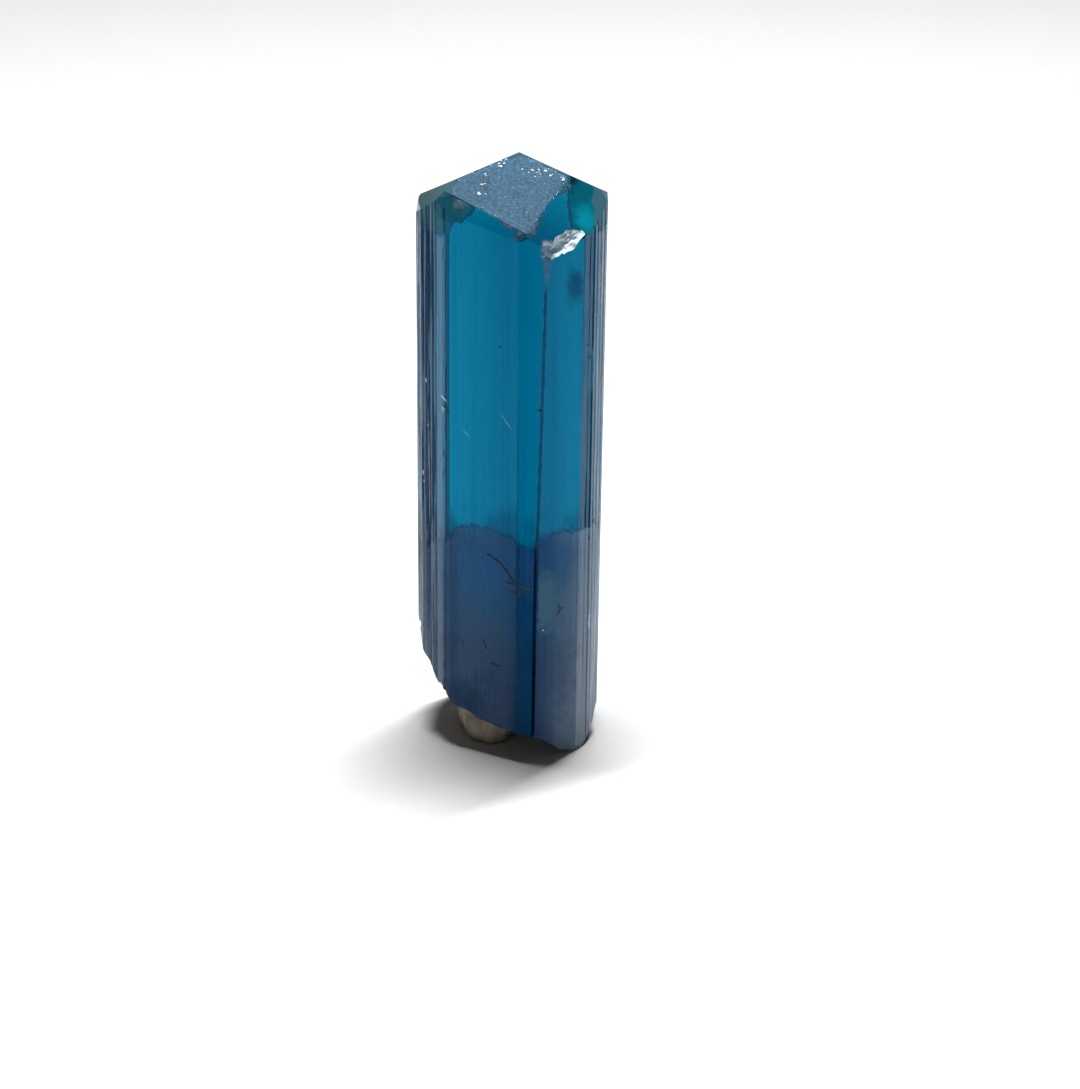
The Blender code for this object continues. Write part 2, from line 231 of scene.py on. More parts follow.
def etchHeight(x, y):
    inside = max(0.0, min(1.0, etchBorder(x, y) / etching["rim"]))
    steady, varied = etching["relief"]
    longWave, shortWave = etching["waveLengths"]
    relief = steady + varied * waveNoise(x, y, 5, longWave)
    drop = etching["depth"] * relief + etching["fineWave"] * waveNoise(x, y, 6, shortWave)
    return frontFaceHeight(y) - max(0.0, drop) * inside


def planeNormal(azimuth, slope):
    turn = math.radians(azimuth)
    tilt = math.radians(slope)
    return Vector((math.sin(turn) * math.sin(tilt), -math.cos(turn) * math.sin(tilt), math.cos(tilt)))


def sideInward(start, end):
    run = math.hypot(end[0] - start[0], end[2] - start[2])
    return -(end[2] - start[2]) / run, (end[0] - start[0]) / run


def between(start, end, share):
    return [start[axis] + (end[axis] - start[axis]) * share for axis in range(3)]


def outlinePoints():
    # x at the top, x at the foot, y, inward x, inward y, dip, groove number and the number of the
    # corner whose valley it is, or -1
    rng = random.Random(prism["seed"])
    corners = prism["corners"]
    count = len(corners)
    points = []
    groove = 0
    for index, start in enumerate(corners):
        end = corners[(index + 1) % count]
        spacing, depth = prism["grooves"][index]
        inX, inY = sideInward(start, end)
        run = math.hypot(end[0] - start[0], end[2] - start[2])
        valleys = prism["valleys"]
        first = valleys[index][0] / run if index in valleys else 0.0
        last = 1.0 - (valleys[(index + 1) % count][0] / run if (index + 1) % count in valleys else 0.0)
        if index in valleys:
            before = sideInward(corners[index - 1], start)
            size = math.hypot(before[0] + inX, before[1] + inY)
            points.append((*start, (before[0] + inX) / size, (before[1] + inY) / size,
                           valleys[index][1], groove, index))
            groove += 1
        steps = max(1, round((last - first) * run / spacing))
        marks = [(step + rng.uniform(-0.3, 0.3)) / steps for step in range(1, steps)]
        for low, high in zip([0.0] + marks, marks + [1.0]):
            middle = low + (high - low) * rng.uniform(0.25, 0.65)
            for share, dip in ((low, 0.0), (middle, rng.uniform(0.3, 1.0))):
                point = between(start, end, first + share * (last - first))
                points.append((*point, inX, inY, depth * dip, groove, -1))
            groove += 1
        if last < 1.0:
            points.append((*between(start, end, last), inX, inY, 0.0, groove, -1))
    return points


# geometry node trees

def newTree(name, inputs):
    tree = bpy.data.node_groups.new(name, "GeometryNodeTree")
    tree.interface.new_socket("Geometry", in_out="INPUT", socket_type="NodeSocketGeometry")
    for label, kind in inputs:
        tree.interface.new_socket(label, in_out="INPUT", socket_type=kind)
    tree.interface.new_socket("Geometry", in_out="OUTPUT", socket_type="NodeSocketGeometry")
    return tree


def feed(tree, socket, value):
    if isinstance(value, bpy.types.NodeSocket):
        tree.links.new(value, socket)
    elif value is not None:
        socket.default_value = value


def addNode(tree, kind, settings=None, inputs=None):
    node = tree.nodes.new(kind)
    for key, value in (settings or {}).items():
        setattr(node, key, value)
    for key, value in (inputs or {}).items():
        feed(tree, node.inputs[key], value)
    return node


def doMath(tree, operation, first, second=0.0, clamp=False):
    node = addNode(tree, "ShaderNodeMath", {"operation": operation, "use_clamp": clamp})
    feed(tree, node.inputs[0], first)
    feed(tree, node.inputs[1], second)
    return node.outputs[0]


def plus(tree, first, second):
    return doMath(tree, "ADD", first, second)


def minus(tree, first, second):
    return doMath(tree, "SUBTRACT", first, second)


def times(tree, first, second, clamp=False):
    return doMath(tree, "MULTIPLY", first, second, clamp)


def doVector(tree, operation, first, second=None):
    # the second value is a vector, or the factor when the operation is SCALE
    node = addNode(tree, "ShaderNodeVectorMath", {"operation": operation}, {0: first})
    feed(tree, node.inputs["Scale" if operation == "SCALE" else 1], second)
    return node.outputs["Value" if operation == "LENGTH" else 0]


def readAttribute(tree, name, kind="FLOAT"):
    node = addNode(tree, "GeometryNodeInputNamedAttribute", {"data_type": kind}, {"Name": name})
    return node.outputs[0]


def striationTree():
    tree = newTree("striations", (("Depth", "NodeSocketFloat"), ("Fade Length", "NodeSocketFloat"),
                                  ("Unevenness", "NodeSocketFloat"), ("Seed", "NodeSocketFloat"),
                                  ("Material", "NodeSocketMaterial")))
    given = addNode(tree, "NodeGroupInput").outputs
    position = addNode(tree, "GeometryNodeInputPosition").outputs[0]
    height = addNode(tree, "ShaderNodeSeparateXYZ", inputs={0: position}).outputs["Z"]
    groove = readAttribute(tree, "groove")
    spot = addNode(tree, "ShaderNodeCombineXYZ", inputs={
        0: times(tree, groove, 3.71),
        1: doMath(tree, "DIVIDE", height, given["Fade Length"]),
        2: given["Seed"]}).outputs[0]
    noise = addNode(tree, "ShaderNodeTexNoise", inputs={"Vector": spot, "Scale": 1.0, "Detail": 2.0})
    least = minus(tree, 1.0, given["Unevenness"])
    share = addNode(tree, "ShaderNodeMapRange", {"clamp": True}, {
        "Value": noise.outputs[0], "From Min": 0.36, "From Max": 0.62, "To Min": least, "To Max": 1.0})
    steady = readAttribute(tree, "steady")  # a deep valley fades less than a groove
    kept = doMath(tree, "MAXIMUM", share.outputs[0], steady)
    amount = times(tree, readAttribute(tree, "dip"), given["Depth"])
    amount = times(tree, amount, kept)
    push = doVector(tree, "SCALE", readAttribute(tree, "inward", "FLOAT_VECTOR"), amount)
    moved = addNode(tree, "GeometryNodeSetPosition", inputs={"Geometry": given["Geometry"], "Offset": push})
    finishTree(tree, moved.outputs[0], given["Material"])
    return tree


def finishTree(tree, geometry, material):
    real = addNode(tree, "GeometryNodeRealizeInstances", inputs={0: geometry})
    painted = addNode(tree, "GeometryNodeSetMaterial", inputs={
        "Geometry": real.outputs[0], "Material": material})
    addNode(tree, "NodeGroupOutput", inputs={0: painted.outputs[0]})


def grainTree():
    # one grain on each point, stretched along the point's aim
    tree = newTree("grains", (("Thickness", "NodeSocketFloat"), ("Unevenness", "NodeSocketFloat"),
                              ("Lumps", "NodeSocketFloat"), ("Seed", "NodeSocketInt"),
                              ("Material", "NodeSocketMaterial")))
    given = addNode(tree, "NodeGroupInput").outputs
    grain = addNode(tree, "GeometryNodeMeshIcoSphere", inputs={"Radius": 1.0, "Subdivisions": 1})
    grow = addNode(tree, "FunctionNodeRandomValue", {"data_type": "FLOAT"})
    feed(tree, grow.inputs[2], minus(tree, 1.0, given["Unevenness"]))
    feed(tree, grow.inputs[3], plus(tree, 1.0, given["Unevenness"]))
    feed(tree, grow.inputs["Seed"], given["Seed"])
    girth = times(tree, readAttribute(tree, "girth"), grow.outputs[1])
    scale = addNode(tree, "ShaderNodeCombineXYZ", inputs={
        0: girth, 1: times(tree, girth, given["Thickness"]),
        2: readAttribute(tree, "stretch")}).outputs[0]
    turn = addNode(tree, "FunctionNodeAlignRotationToVector", {"axis": "Z"}, {
        "Vector": readAttribute(tree, "aim", "FLOAT_VECTOR")})
    turn = addNode(tree, "FunctionNodeAlignRotationToVector", {"axis": "Y", "pivot_axis": "Z"}, {
        "Rotation": turn.outputs[0], "Vector": readAttribute(tree, "facing", "FLOAT_VECTOR")})
    spread = addNode(tree, "GeometryNodeInstanceOnPoints", inputs={
        "Points": given["Geometry"], "Instance": grain.outputs[0],
        "Rotation": turn.outputs[0], "Scale": scale})
    real = addNode(tree, "GeometryNodeRealizeInstances", inputs={0: spread.outputs[0]})
    noise = addNode(tree, "ShaderNodeTexNoise", inputs={"Scale": 9.0 / mm, "Detail": 0.0})
    shift = doVector(tree, "SUBTRACT", noise.outputs["Color"], (0.5, 0.5, 0.5))
    shift = doVector(tree, "SCALE", shift, given["Lumps"])
    moved = addNode(tree, "GeometryNodeSetPosition", inputs={"Geometry": real.outputs[0], "Offset": shift})
    finishTree(tree, moved.outputs[0], given["Material"])
    return tree


def applyModifier(thing, modifier):
    depsgraph = bpy.context.evaluated_depsgraph_get()
    mesh = bpy.data.meshes.new_from_object(thing.evaluated_get(depsgraph), depsgraph=depsgraph)
    thing.modifiers.remove(modifier)
    old = thing.data
    thing.data = mesh
    bpy.data.meshes.remove(old)
    mesh.name = thing.name


def runTree(thing, tree, values):
    modifier = thing.modifiers.new(tree.name, "NODES")
    modifier.node_group = tree
    keys = {item.name: item.identifier for item in tree.interface.items_tree
            if item.item_type == "SOCKET" and item.in_out == "INPUT"}
    for label, value in values.items():
        modifier[keys[label]] = value
    applyModifier(thing, modifier)


def newObject(name, data):
    thing = bpy.data.objects.new(name, data)
    bpy.context.scene.collection.objects.link(thing)
    return thing


def setAttribute(mesh, name, values, domain="POINT"):
    values = np.asarray(values, float)
    kind, key = ("FLOAT_VECTOR", "vector") if values.ndim == 2 else ("FLOAT", "value")
    mesh.attributes.new(name, kind, domain).data.foreach_set(key, values.ravel())


# shader helpers

def newMaterial(name):
    material = bpy.data.materials.new(name)
    material.use_nodes = True
    return material, material.node_tree, material.node_tree.nodes["Principled BSDF"]


def mixColour(tree, share, first, second):
    node = addNode(tree, "ShaderNodeMix", {"data_type": "RGBA"})
    feed(tree, node.inputs[0], share)
    feed(tree, node.inputs[6], (*first, 1.0) if isinstance(first, tuple) else first)
    feed(tree, node.inputs[7], (*second, 1.0) if isinstance(second, tuple) else second)
    return node.outputs[2]


def mixValue(tree, share, first, second):
    node = addNode(tree, "ShaderNodeMix", {"data_type": "FLOAT"})
    feed(tree, node.inputs[0], share)
    feed(tree, node.inputs[2], first)
    feed(tree, node.inputs[3], second)
    return node.outputs[0]


def fadeBetween(tree, value, low, high, least=0.0, most=1.0):
    node = addNode(tree, "ShaderNodeMapRange", {"interpolation_type": "SMOOTHSTEP", "clamp": True}, {
        "Value": value, "From Min": low, "From Max": high, "To Min": least, "To Max": most})
    return node.outputs[0]


def drawingCoords(tree):
    # object coordinates in the drawing's millimetres
    raw = addNode(tree, "ShaderNodeTexCoord").outputs["Object"]
    return doVector(tree, "ADD", doVector(tree, "SCALE", raw, 1.0 / mm), (*drawingCentre, 0.0))


def noiseOn(tree, coords, size, stretch=(1.0, 1.0, 1.0), detail=2.0, roughness=0.5):
    # size is the length of one lump in millimetres
    node = addNode(tree, "ShaderNodeTexNoise", inputs={
        "Vector": doVector(tree, "MULTIPLY", coords, stretch), "Scale": 1.0 / size,
        "Detail": detail, "Roughness": roughness})
    return node.outputs[0]


def waver(tree, noise, amount):
    return times(tree, minus(tree, noise, 0.5), amount)


def spotMask(tree, coords, centre, radii, soft, noise, ragged):
    # 1 inside an ellipsoid with a ragged border, 0 outside
    node = addNode(tree, "ShaderNodeMapping", {"vector_type": "TEXTURE"}, {"Vector": coords})
    node.inputs["Location"].default_value = centre
    node.inputs["Scale"].default_value = radii
    size = plus(tree, doVector(tree, "LENGTH", node.outputs[0]), waver(tree, noise, ragged))
    return fadeBetween(tree, size, 1.0 - soft, 1.0 + soft, 1.0, 0.0)


def coatOver(tree, coat, share, tone, clear=None, rough=None, gain=None):
    # lays a colour, clearness and roughness over others; with a gain the colour turns sooner than
    # the clearness, so that a thin film of haze stays dark
    tint = times(tree, share, gain, True) if gain else share
    return (mixColour(tree, tint, coat[0], tone),
            coat[1] if clear is None else mixValue(tree, share, coat[1], clear),
            coat[2] if rough is None else mixValue(tree, share, coat[2], rough))


def attributeOf(tree, name):
    return addNode(tree, "ShaderNodeAttribute", {"attribute_name": name}).outputs["Fac"]


def addBump(tree, height, distance, strength=1.0, after=None):
    node = addNode(tree, "ShaderNodeBump", inputs={
        "Height": height, "Distance": distance * mm, "Strength": strength})
    if after is not None:
        feed(tree, node.inputs["Normal"], after)
    return node.outputs[0]


# the crystal's material

tourmaline = {
    "ior": 1.63,
    "absorptionColour": (0.0, 0.782, 0.843),
    "absorptionDensity": 950.0,
    "reflectionTint": (0.0, 0.32, 0.7),
    "polish": 0.02,
    # a coat is its clearness, then its roughness and how many times sooner the colour turns than
    # the clearness, where it has them
    "frostDeep": (0.066, 0.108, 0.148),
    "frostPale": (0.108, 0.162, 0.212),
    "frostCoat": (0.35, 0.45, 6.0),
    "chipDeep": (0.4, 0.54, 0.63),
    "chipPale": (0.78, 0.88, 0.95),
    "chipCoat": (0.0, 0.9),
    "lowerDeep": (0.01, 0.05, 0.27),
    "lowerPale": (0.06, 0.115, 0.43),
    "lowerBand": (0.004, 0.02, 0.11),
    "lowerClear": 0.78,
    "lowerRoughness": 0.35,
    "lowerGain": 2.5,
    # painted shade: the faces turn darker and less clear towards the foot, where shade falls
    "footShadeColour": (0.012, 0.01, 0.085),
    "footShadeClear": 0.58,
    "footShadeFade": (3.0, 12.0),
    "bandColour": (0.25, 0.62, 0.8),  # faint upright bands in the clear part
    "bandFade": (0.46, 0.66),
    "bandShares": (0.7, 0.5),  # in the cloudy part and in the clear one
    "rimColour": (0.05, 0.12, 0.14),
    "rimCoat": (0.25,),
    # painted shade laid on some sides above the border
    "sideShadeColour": (0.0, 0.12, 0.18),
    # grey haze: partly real cloudiness, and its pale tone is a painted reflection of the white surroundings
    "hazeDark": (0.07, 0.08, 0.155),
    "paleSheenTone": (0.56, 0.64, 0.73),
    "hazeCoat": (0.55, 0.16, 5.0),
    # painted shade: the broken end underneath is dark and less clear
    "breakShadeColour": (0.09, 0.12, 0.17),
    "breakCoat": (0.35, 0.25),
    # lumps of the noises in millimetres
    "fine": 0.16,
    "medium": 0.6,
    "cloud": 2.2,
    "streak": 0.22,
    "band": 0.9,
    "crumbs": 0.34,
    # how tall a bump is and how strongly it shows
    "streakBump": (0.004, 0.5),
    "frostBump": (0.05, 0.8),
    "chipBump": (0.05, 0.7),
    # one dark colour for the painted shade lines and for the dark line along the border
    "lineShadeAndBorderColour": (0.0, 0.02, 0.07),
    # painted shade lines upright along the deep valley and the front edge: x at the top, x at the foot, y,
    # half width, share in the clear part, fade heights
    "grooveShadeLine": (2.27, 1.5, -6.1, 0.16, 0.95, 30.2, 31.4),
    "edgeShadeLine": (0.5, 0.66, -6.1, 0.12, 0.6, 21.0, 26.0),
    # height of the border between clear and cloudy by x, and the box that its curve is drawn in
    "border": (
        (-6.0, 13.2), (-5.0, 13.4), (-3.5, 14.06), (-2.9, 15.1), (-1.7, 15.31), (0.0, 15.1), (0.6, 14.7),
        (1.2, 14.4), (1.9, 14.6), (2.6, 15.1), (4.4, 14.97), (6.0, 14.6),
    ),
    "borderBox": (-6.0, 12.0, 12.0, 4.0),  # left, width, bottom and height
    "raggedness": 0.9,
    # towards the back: y from, y to and the value at each
    "borderDrop": (-3.2, 1.0, 0.0, 3.2),  # the border lies lower there, where the view comes down to it
    "borderCrispness": (-3.2, -1.0, 1.0, 0.1),
    "borderFade": (-0.12, 0.16),
    # a dark line along the border: where it rises and falls off, and how strong it is by the cloud
    "rimLineRise": (-0.34, -0.16),
    "rimLineFall": (-0.05, 0.12),
    "rimLineShare": (0.42, 0.58, 0.1, 0.7),
    "frostFade": (-0.1, 0.16),
    "denseGain": 12.0,  # for spots that are less than half clear
    "thinGain": 2.5,
    # pale and dark spots: centre, half sizes, colour, strength, softness, clearness and raggedness
    "spots": (
        ((-1.3, -5.0, 12.6), (2.1, 1.6, 2.3), (0.03, 0.2, 0.5), 0.6, 0.9, 1.0, 1.6),
        ((3.1, -5.1, 13.2), (1.2, 1.2, 1.6), (0.01, 0.15, 0.42), 0.6, 0.9, 1.0, 1.6),
        ((1.15, -6.1, 5.2), (0.8, 0.6, 6.5), (0.0, 0.012, 0.07), 0.6, 0.5, 1.0, 0.6),
        ((-3.55, -3.85, 8.4), (0.55, 0.8, 5.6), (0.045, 0.03, 0.11), 0.6, 0.6, 1.0, 1.2),
        ((-0.8, -5.35, 5.0), (1.4, 1.0, 1.2), (0.06, 0.025, 0.11), 0.6, 0.8, 1.0, 2.4),
        ((-2.5, -4.4, 3.6), (1.3, 1.3, 1.1), (0.02, 0.012, 0.055), 0.75, 0.8, 1.0, 1.8),
        ((3.3, -5.0, 5.6), (1.0, 1.0, 2.6), (0.03, 0.04, 0.12), 0.45, 0.8, 1.0, 2.4),
        ((2.4, -5.65, 10.7), (0.52, 0.8, 1.35), (0.17, 0.29, 0.33), 0.75, 0.95, 0.7, 2.2),
        ((2.25, -5.8, 33.15), (0.46, 0.4, 0.52), (0.42, 0.44, 0.5), 0.85, 0.3, 0.35, 1.6),
        ((2.2, -5.85, 32.35), (0.2, 0.5, 0.85), (0.3, 0.33, 0.4), 0.6, 0.5, 0.6, 1.6),
        ((3.9, -4.7, 30.6), (0.55, 0.7, 1.2), (0.0, 0.11, 0.18), 1.0, 0.65, 1.0, 1.6),
        ((-4.5, -1.8, 34.7), (1.3, 3.0, 1.45), (0.055, 0.155, 0.18), 1.0, 0.35, 0.3, 0.5),
        ((-3.35, -3.6, 34.8), (1.1, 1.2, 0.6), (0.012, 0.1, 0.135), 1.0, 0.3, 0.35, 1.3),
        ((4.6, -3.0, 35.2), (1.15, 3.0, 1.85), (0.0, 0.115, 0.165), 1.0, 0.25, 0.3, 0.5),
        ((4.35, -3.5, 34.15), (0.62, 1.5, 0.7), (0.0, 0.3, 0.41), 0.9, 0.75, 1.0, 0.8),
        ((5.45, -2.3, 35.1), (0.5, 2.4, 1.5), (0.05, 0.15, 0.19), 1.0, 0.35, 0.3, 1.2),
    ),
}


def uprightShadeLine(tree, split, noise, line, lower):
    # a painted shade line along an edge, wider and stronger in the cloudy part
    top, foot, y, half, clearShare, fadeFrom, fadeTo = line
    middle = plus(tree, times(tree, split["Z"], (top - foot) / prism["height"]), foot)
    away = doMath(tree, "ABSOLUTE", minus(tree, split["X"], middle))
    width = plus(tree, mixValue(tree, lower, half * 0.6, half), waver(tree, noise, half * 1.2))
    inside = fadeBetween(tree, minus(tree, width, away), -0.05, 0.05)
    front = fadeBetween(tree, split["Y"], y + 0.5, y + 1.0, 1.0, 0.0)
    level = mixValue(tree, lower, clearShare, 1.0)
    level = times(tree, level, fadeBetween(tree, split["Z"], fadeFrom, fadeTo, 1.0, 0.0))
    return times(tree, times(tree, inside, front), level)


def belowBorder(tree, split, noise):
    # how far a spot lies below the wavy border; the border is crisp in front and soft behind
    look = tourmaline
    left, width, bottom, height = look["borderBox"]
    curve = addNode(tree, "ShaderNodeFloatCurve")
    line = curve.mapping.curves[0]
    spots = [((x - left) / width, (z - bottom) / height) for x, z in look["border"]]
    line.points[0].location = spots[0]
    line.points[1].location = spots[-1]
    for spot in spots[1:-1]:
        line.points.new(*spot)
    curve.mapping.update()
    along = doMath(tree, "DIVIDE", minus(tree, split["X"], left), width, True)
    feed(tree, curve.inputs["Value"], along)
    level = plus(tree, times(tree, curve.outputs[0], height), bottom)
    level = plus(tree, level, waver(tree, noise, look["raggedness"]))
    level = minus(tree, level, fadeBetween(tree, split["Y"], *look["borderDrop"]))
    under = minus(tree, level, split["Z"])
    return times(tree, under, fadeBetween(tree, split["Y"], *look["borderCrispness"]))


def makeTourmaline():
    material, tree, shader = newMaterial("tourmalineBlue")
    look = tourmaline
    coords = drawingCoords(tree)
    split = addNode(tree, "ShaderNodeSeparateXYZ", inputs={0: coords}).outputs
    upright = (1.0, 1.0, 0.02)
    fine = noiseOn(tree, coords, look["fine"], detail=3.0)
    medium = noiseOn(tree, coords, look["medium"], detail=3.0)
    cloud = noiseOn(tree, coords, look["cloud"], stretch=(1.0, 1.0, 0.45), detail=4.0)
    streak = noiseOn(tree, coords, look["streak"], stretch=upright, detail=3.0)
    band = noiseOn(tree, coords, look["band"], stretch=upright, detail=4.0, roughness=0.6)
    crumbs = noiseOn(tree, coords, look["crumbs"], detail=4.0, roughness=0.65)

    # cloudy lower part and the dark line along its border
    under = belowBorder(tree, split, medium)
    lower = fadeBetween(tree, under, *look["borderFade"])
    rimLine = times(tree, fadeBetween(tree, under, *look["rimLineRise"]),
                    fadeBetween(tree, under, *look["rimLineFall"], 1.0, 0.0))
    rimLine = times(tree, rimLine, fadeBetween(tree, cloud, *look["rimLineShare"]))
    # painted shade that grows towards the foot
    foot = fadeBetween(tree, split["Z"], *look["footShadeFade"], 1.0, 0.0)
    band = fadeBetween(tree, band, *look["bandFade"])
    lowerShare, clearShare = look["bandShares"]
    lowerTone = mixColour(tree, fadeBetween(tree, cloud, 0.42, 0.6), look["lowerDeep"], look["lowerPale"])
    lowerTone = mixColour(tree, foot, lowerTone, look["footShadeColour"])
    lowerTone = mixColour(tree, times(tree, band, lowerShare), lowerTone, look["lowerBand"])
    clearTone = mixColour(tree, times(tree, band, clearShare), (1.0, 1.0, 1.0), look["bandColour"])
    lowerClear = mixValue(tree, foot, look["lowerClear"], look["footShadeClear"])
    coat = coatOver(tree, (clearTone, 1.0, look["polish"]), lower, lowerTone, lowerClear,
                    look["lowerRoughness"], look["lowerGain"])

    # painted shade on some sides, and grey haze with its own share above and below the border, its pale
    # share a painted reflection
    sideShade = times(tree, attributeOf(tree, "sideShade"), minus(tree, 1.0, lower))
    coat = coatOver(tree, coat, sideShade, look["sideShadeColour"])
    veil = mixValue(tree, lower, attributeOf(tree, "haze"), attributeOf(tree, "hazeLow"))
    veil = times(tree, veil, fadeBetween(tree, streak, 0.3, 0.62, 0.55, 1.0))
    # the pale share of the haze is a painted reflection of the white surroundings
    pale = mixValue(tree, lower, attributeOf(tree, "pale"), attributeOf(tree, "paleSheenLow"))
    hazeAndSheenTone = mixColour(tree, pale, look["hazeDark"], look["paleSheenTone"])
    coat = coatOver(tree, coat, veil, hazeAndSheenTone, *look["hazeCoat"])
    coat = coatOver(tree, coat, attributeOf(tree, "rim"), look["rimColour"], *look["rimCoat"])

    for centre, radii, tone, strength, soft, clear, ragged in look["spots"]:
        mask = times(tree, spotMask(tree, coords, centre, radii, soft, medium, ragged), strength)
        if clear < 1.0:
            gain = look["denseGain"] if clear < 0.5 else look["thinGain"]
            coat = coatOver(tree, coat, mask, tone, clear, None, gain)
        else:
            coat = coatOver(tree, coat, mask, tone)
    # painted shade lines along the valley and the front edge, then the dark line along the border
    dark = doMath(tree, "MAXIMUM", uprightShadeLine(tree, split, medium, look["grooveShadeLine"], lower),
                  uprightShadeLine(tree, split, medium, look["edgeShadeLine"], lower))
    coat = coatOver(tree, coat, doMath(tree, "MAXIMUM", dark, rimLine), look["lineShadeAndBorderColour"])

    # painted shade on the broken foot, then the etched patch and chip
    coat = coatOver(tree, coat, attributeOf(tree, "broken"), look["breakShadeColour"], *look["breakCoat"])
    edge = plus(tree, attributeOf(tree, "frost"), waver(tree, medium, look["raggedness"]))
    frost = times(tree, fadeBetween(tree, edge, *look["frostFade"]), attributeOf(tree, "etched"))
    frostTone = mixColour(tree, fadeBetween(tree, fine, 0.38, 0.66), look["frostDeep"], look["frostPale"])
    coat = coatOver(tree, coat, frost, frostTone, *look["frostCoat"])
    chipped = attributeOf(tree, "chipped")
    chipTone = mixColour(tree, fadeBetween(tree, crumbs, 0.4, 0.58), look["chipDeep"], look["chipPale"])
    colour, clear, rough = coatOver(tree, coat, chipped, chipTone, *look["chipCoat"])

    bump = addBump(tree, streak, *look["streakBump"])
    bump = addBump(tree, times(tree, fine, frost), *look["frostBump"], bump)
    bump = addBump(tree, times(tree, fine, chipped), *look["chipBump"], bump)
    feed(tree, shader.inputs["Base Color"], colour)
    feed(tree, shader.inputs["Transmission Weight"], clear)
    feed(tree, shader.inputs["Roughness"], rough)
    feed(tree, shader.inputs["Normal"], bump)
    shader.inputs["IOR"].default_value = look["ior"]
    shader.inputs["Specular Tint"].default_value = (*look["reflectionTint"], 1.0)
    soak = addNode(tree, "ShaderNodeVolumeAbsorption")
    soak.inputs["Color"].default_value = (*look["absorptionColour"], 1.0)
    soak.inputs["Density"].default_value = look["absorptionDensity"]
    tree.links.new(soak.outputs[0], tree.nodes["Material Output"].inputs["Volume"])
    return material


# building the crystal

def buildTube(material):
    points = outlinePoints()
    count = len(points)
    rows = prism["rows"]
    high = prism["height"] + prism["spareLength"]
    fadingValley, fadeFrom, fadeLength, left = prism["fadingValley"]
    spots, inward, dips, grooves, steady = [], [], [], [], []
    lows = [breakHeight(point[1], point[2]) for point in points]
    for row in range(rows + 1):
        for (top, foot, y, inX, inY, dip, groove, valley), low in zip(points, lows):
            z = low + (high - low) * row / rows
            if valley == fadingValley:
                dip *= left + (1.0 - left) * min(1.0, max(0.0, (fadeFrom - z) / fadeLength))
            spots.append(place(foot + (top - foot) * z / prism["height"], y, z))
            inward.append((inX, inY, 0.0))
            dips.append(dip)
            grooves.append(groove)
            steady.append(prism["valleySteadiness"] if valley >= 0 else 0.0)
    faces = []
    for row in range(rows):
        for index in range(count):
            after = (index + 1) % count
            faces.append((row * count + index, row * count + after,
                          (row + 1) * count + after, (row + 1) * count + index))
    mesh = bpy.data.meshes.new("tube")
    mesh.from_pydata(spots, [], faces)
    setAttribute(mesh, "inward", inward)
    setAttribute(mesh, "dip", dips)
    setAttribute(mesh, "groove", grooves)
    setAttribute(mesh, "steady", steady)
    tube = newObject("tube", mesh)
    runTree(tube, striationTree(), {
        "Depth": mm, "Fade Length": prism["grooveFade"] * mm, "Unevenness": prism["grooveUnevenness"],
        "Seed": 4.0, "Material": material})
    return tube, count


def rimDistance(x, y, rim):
    step = np.roll(rim, -1, axis=0) - rim
    square = np.maximum((step ** 2).sum(axis=1), 1e-12)
    along = ((x - rim[:, 0]) * step[:, 0] + (y - rim[:, 1]) * step[:, 1]) / square
    along = np.clip(along, 0.0, 1.0)
    return np.hypot(rim[:, 0] + along * step[:, 0] - x, rim[:, 1] + along * step[:, 1] - y).min()


sheets = {
    "jitter": 0.32,  # of a point, in spacings
    "coarser": 3,  # one point in so many is kept on each axis where a sheet is coarse
    "rimGap": 0.45,  # in spacings
}


def fillSheet(body, rimVertices, spacing, surface, seed, fineWhere=None):
    # a sheet of triangles between a closed rim and scattered points, coarse where fineWhere fails
    rng = random.Random(seed)
    jitter = sheets["jitter"]
    coarser = sheets["coarser"]
    rim = np.array([drawingPlan(vertex.co) for vertex in rimVertices])
    count = len(rim)
    plan = [Vector((float(x), float(y))) for x, y in rim]
    low = rim.min(axis=0)
    high = rim.max(axis=0)
    for row in range(math.ceil((high[1] - low[1]) / spacing)):
        for column in range(math.ceil((high[0] - low[0]) / spacing)):
            x = low[0] + (column + rng.uniform(-jitter, jitter)) * spacing
            y = low[1] + (row + rng.uniform(-jitter, jitter)) * spacing
            if fineWhere is not None and not fineWhere(x, y) and (row % coarser or column % coarser):
                continue
            if rimDistance(x, y, rim) > spacing * sheets["rimGap"]:
                plan.append(Vector((x, y)))
    spots, _, triangles, sources, _, _ = delaunay_2d_cdt(plan, [], [list(range(count))], 1, 1e-7)
    corners = {}
    for index in sorted({index for triangle in triangles for index in triangle}):
        source = sources[index][0] if sources[index] else count
        spot = spots[index]
        if source < count:
            corners[index] = rimVertices[source]
        else:
            corners[index] = body.verts.new(place(spot.x, spot.y, surface(spot.x, spot.y)))
    for triangle in triangles:
        body.faces.new([corners[index] for index in triangle])


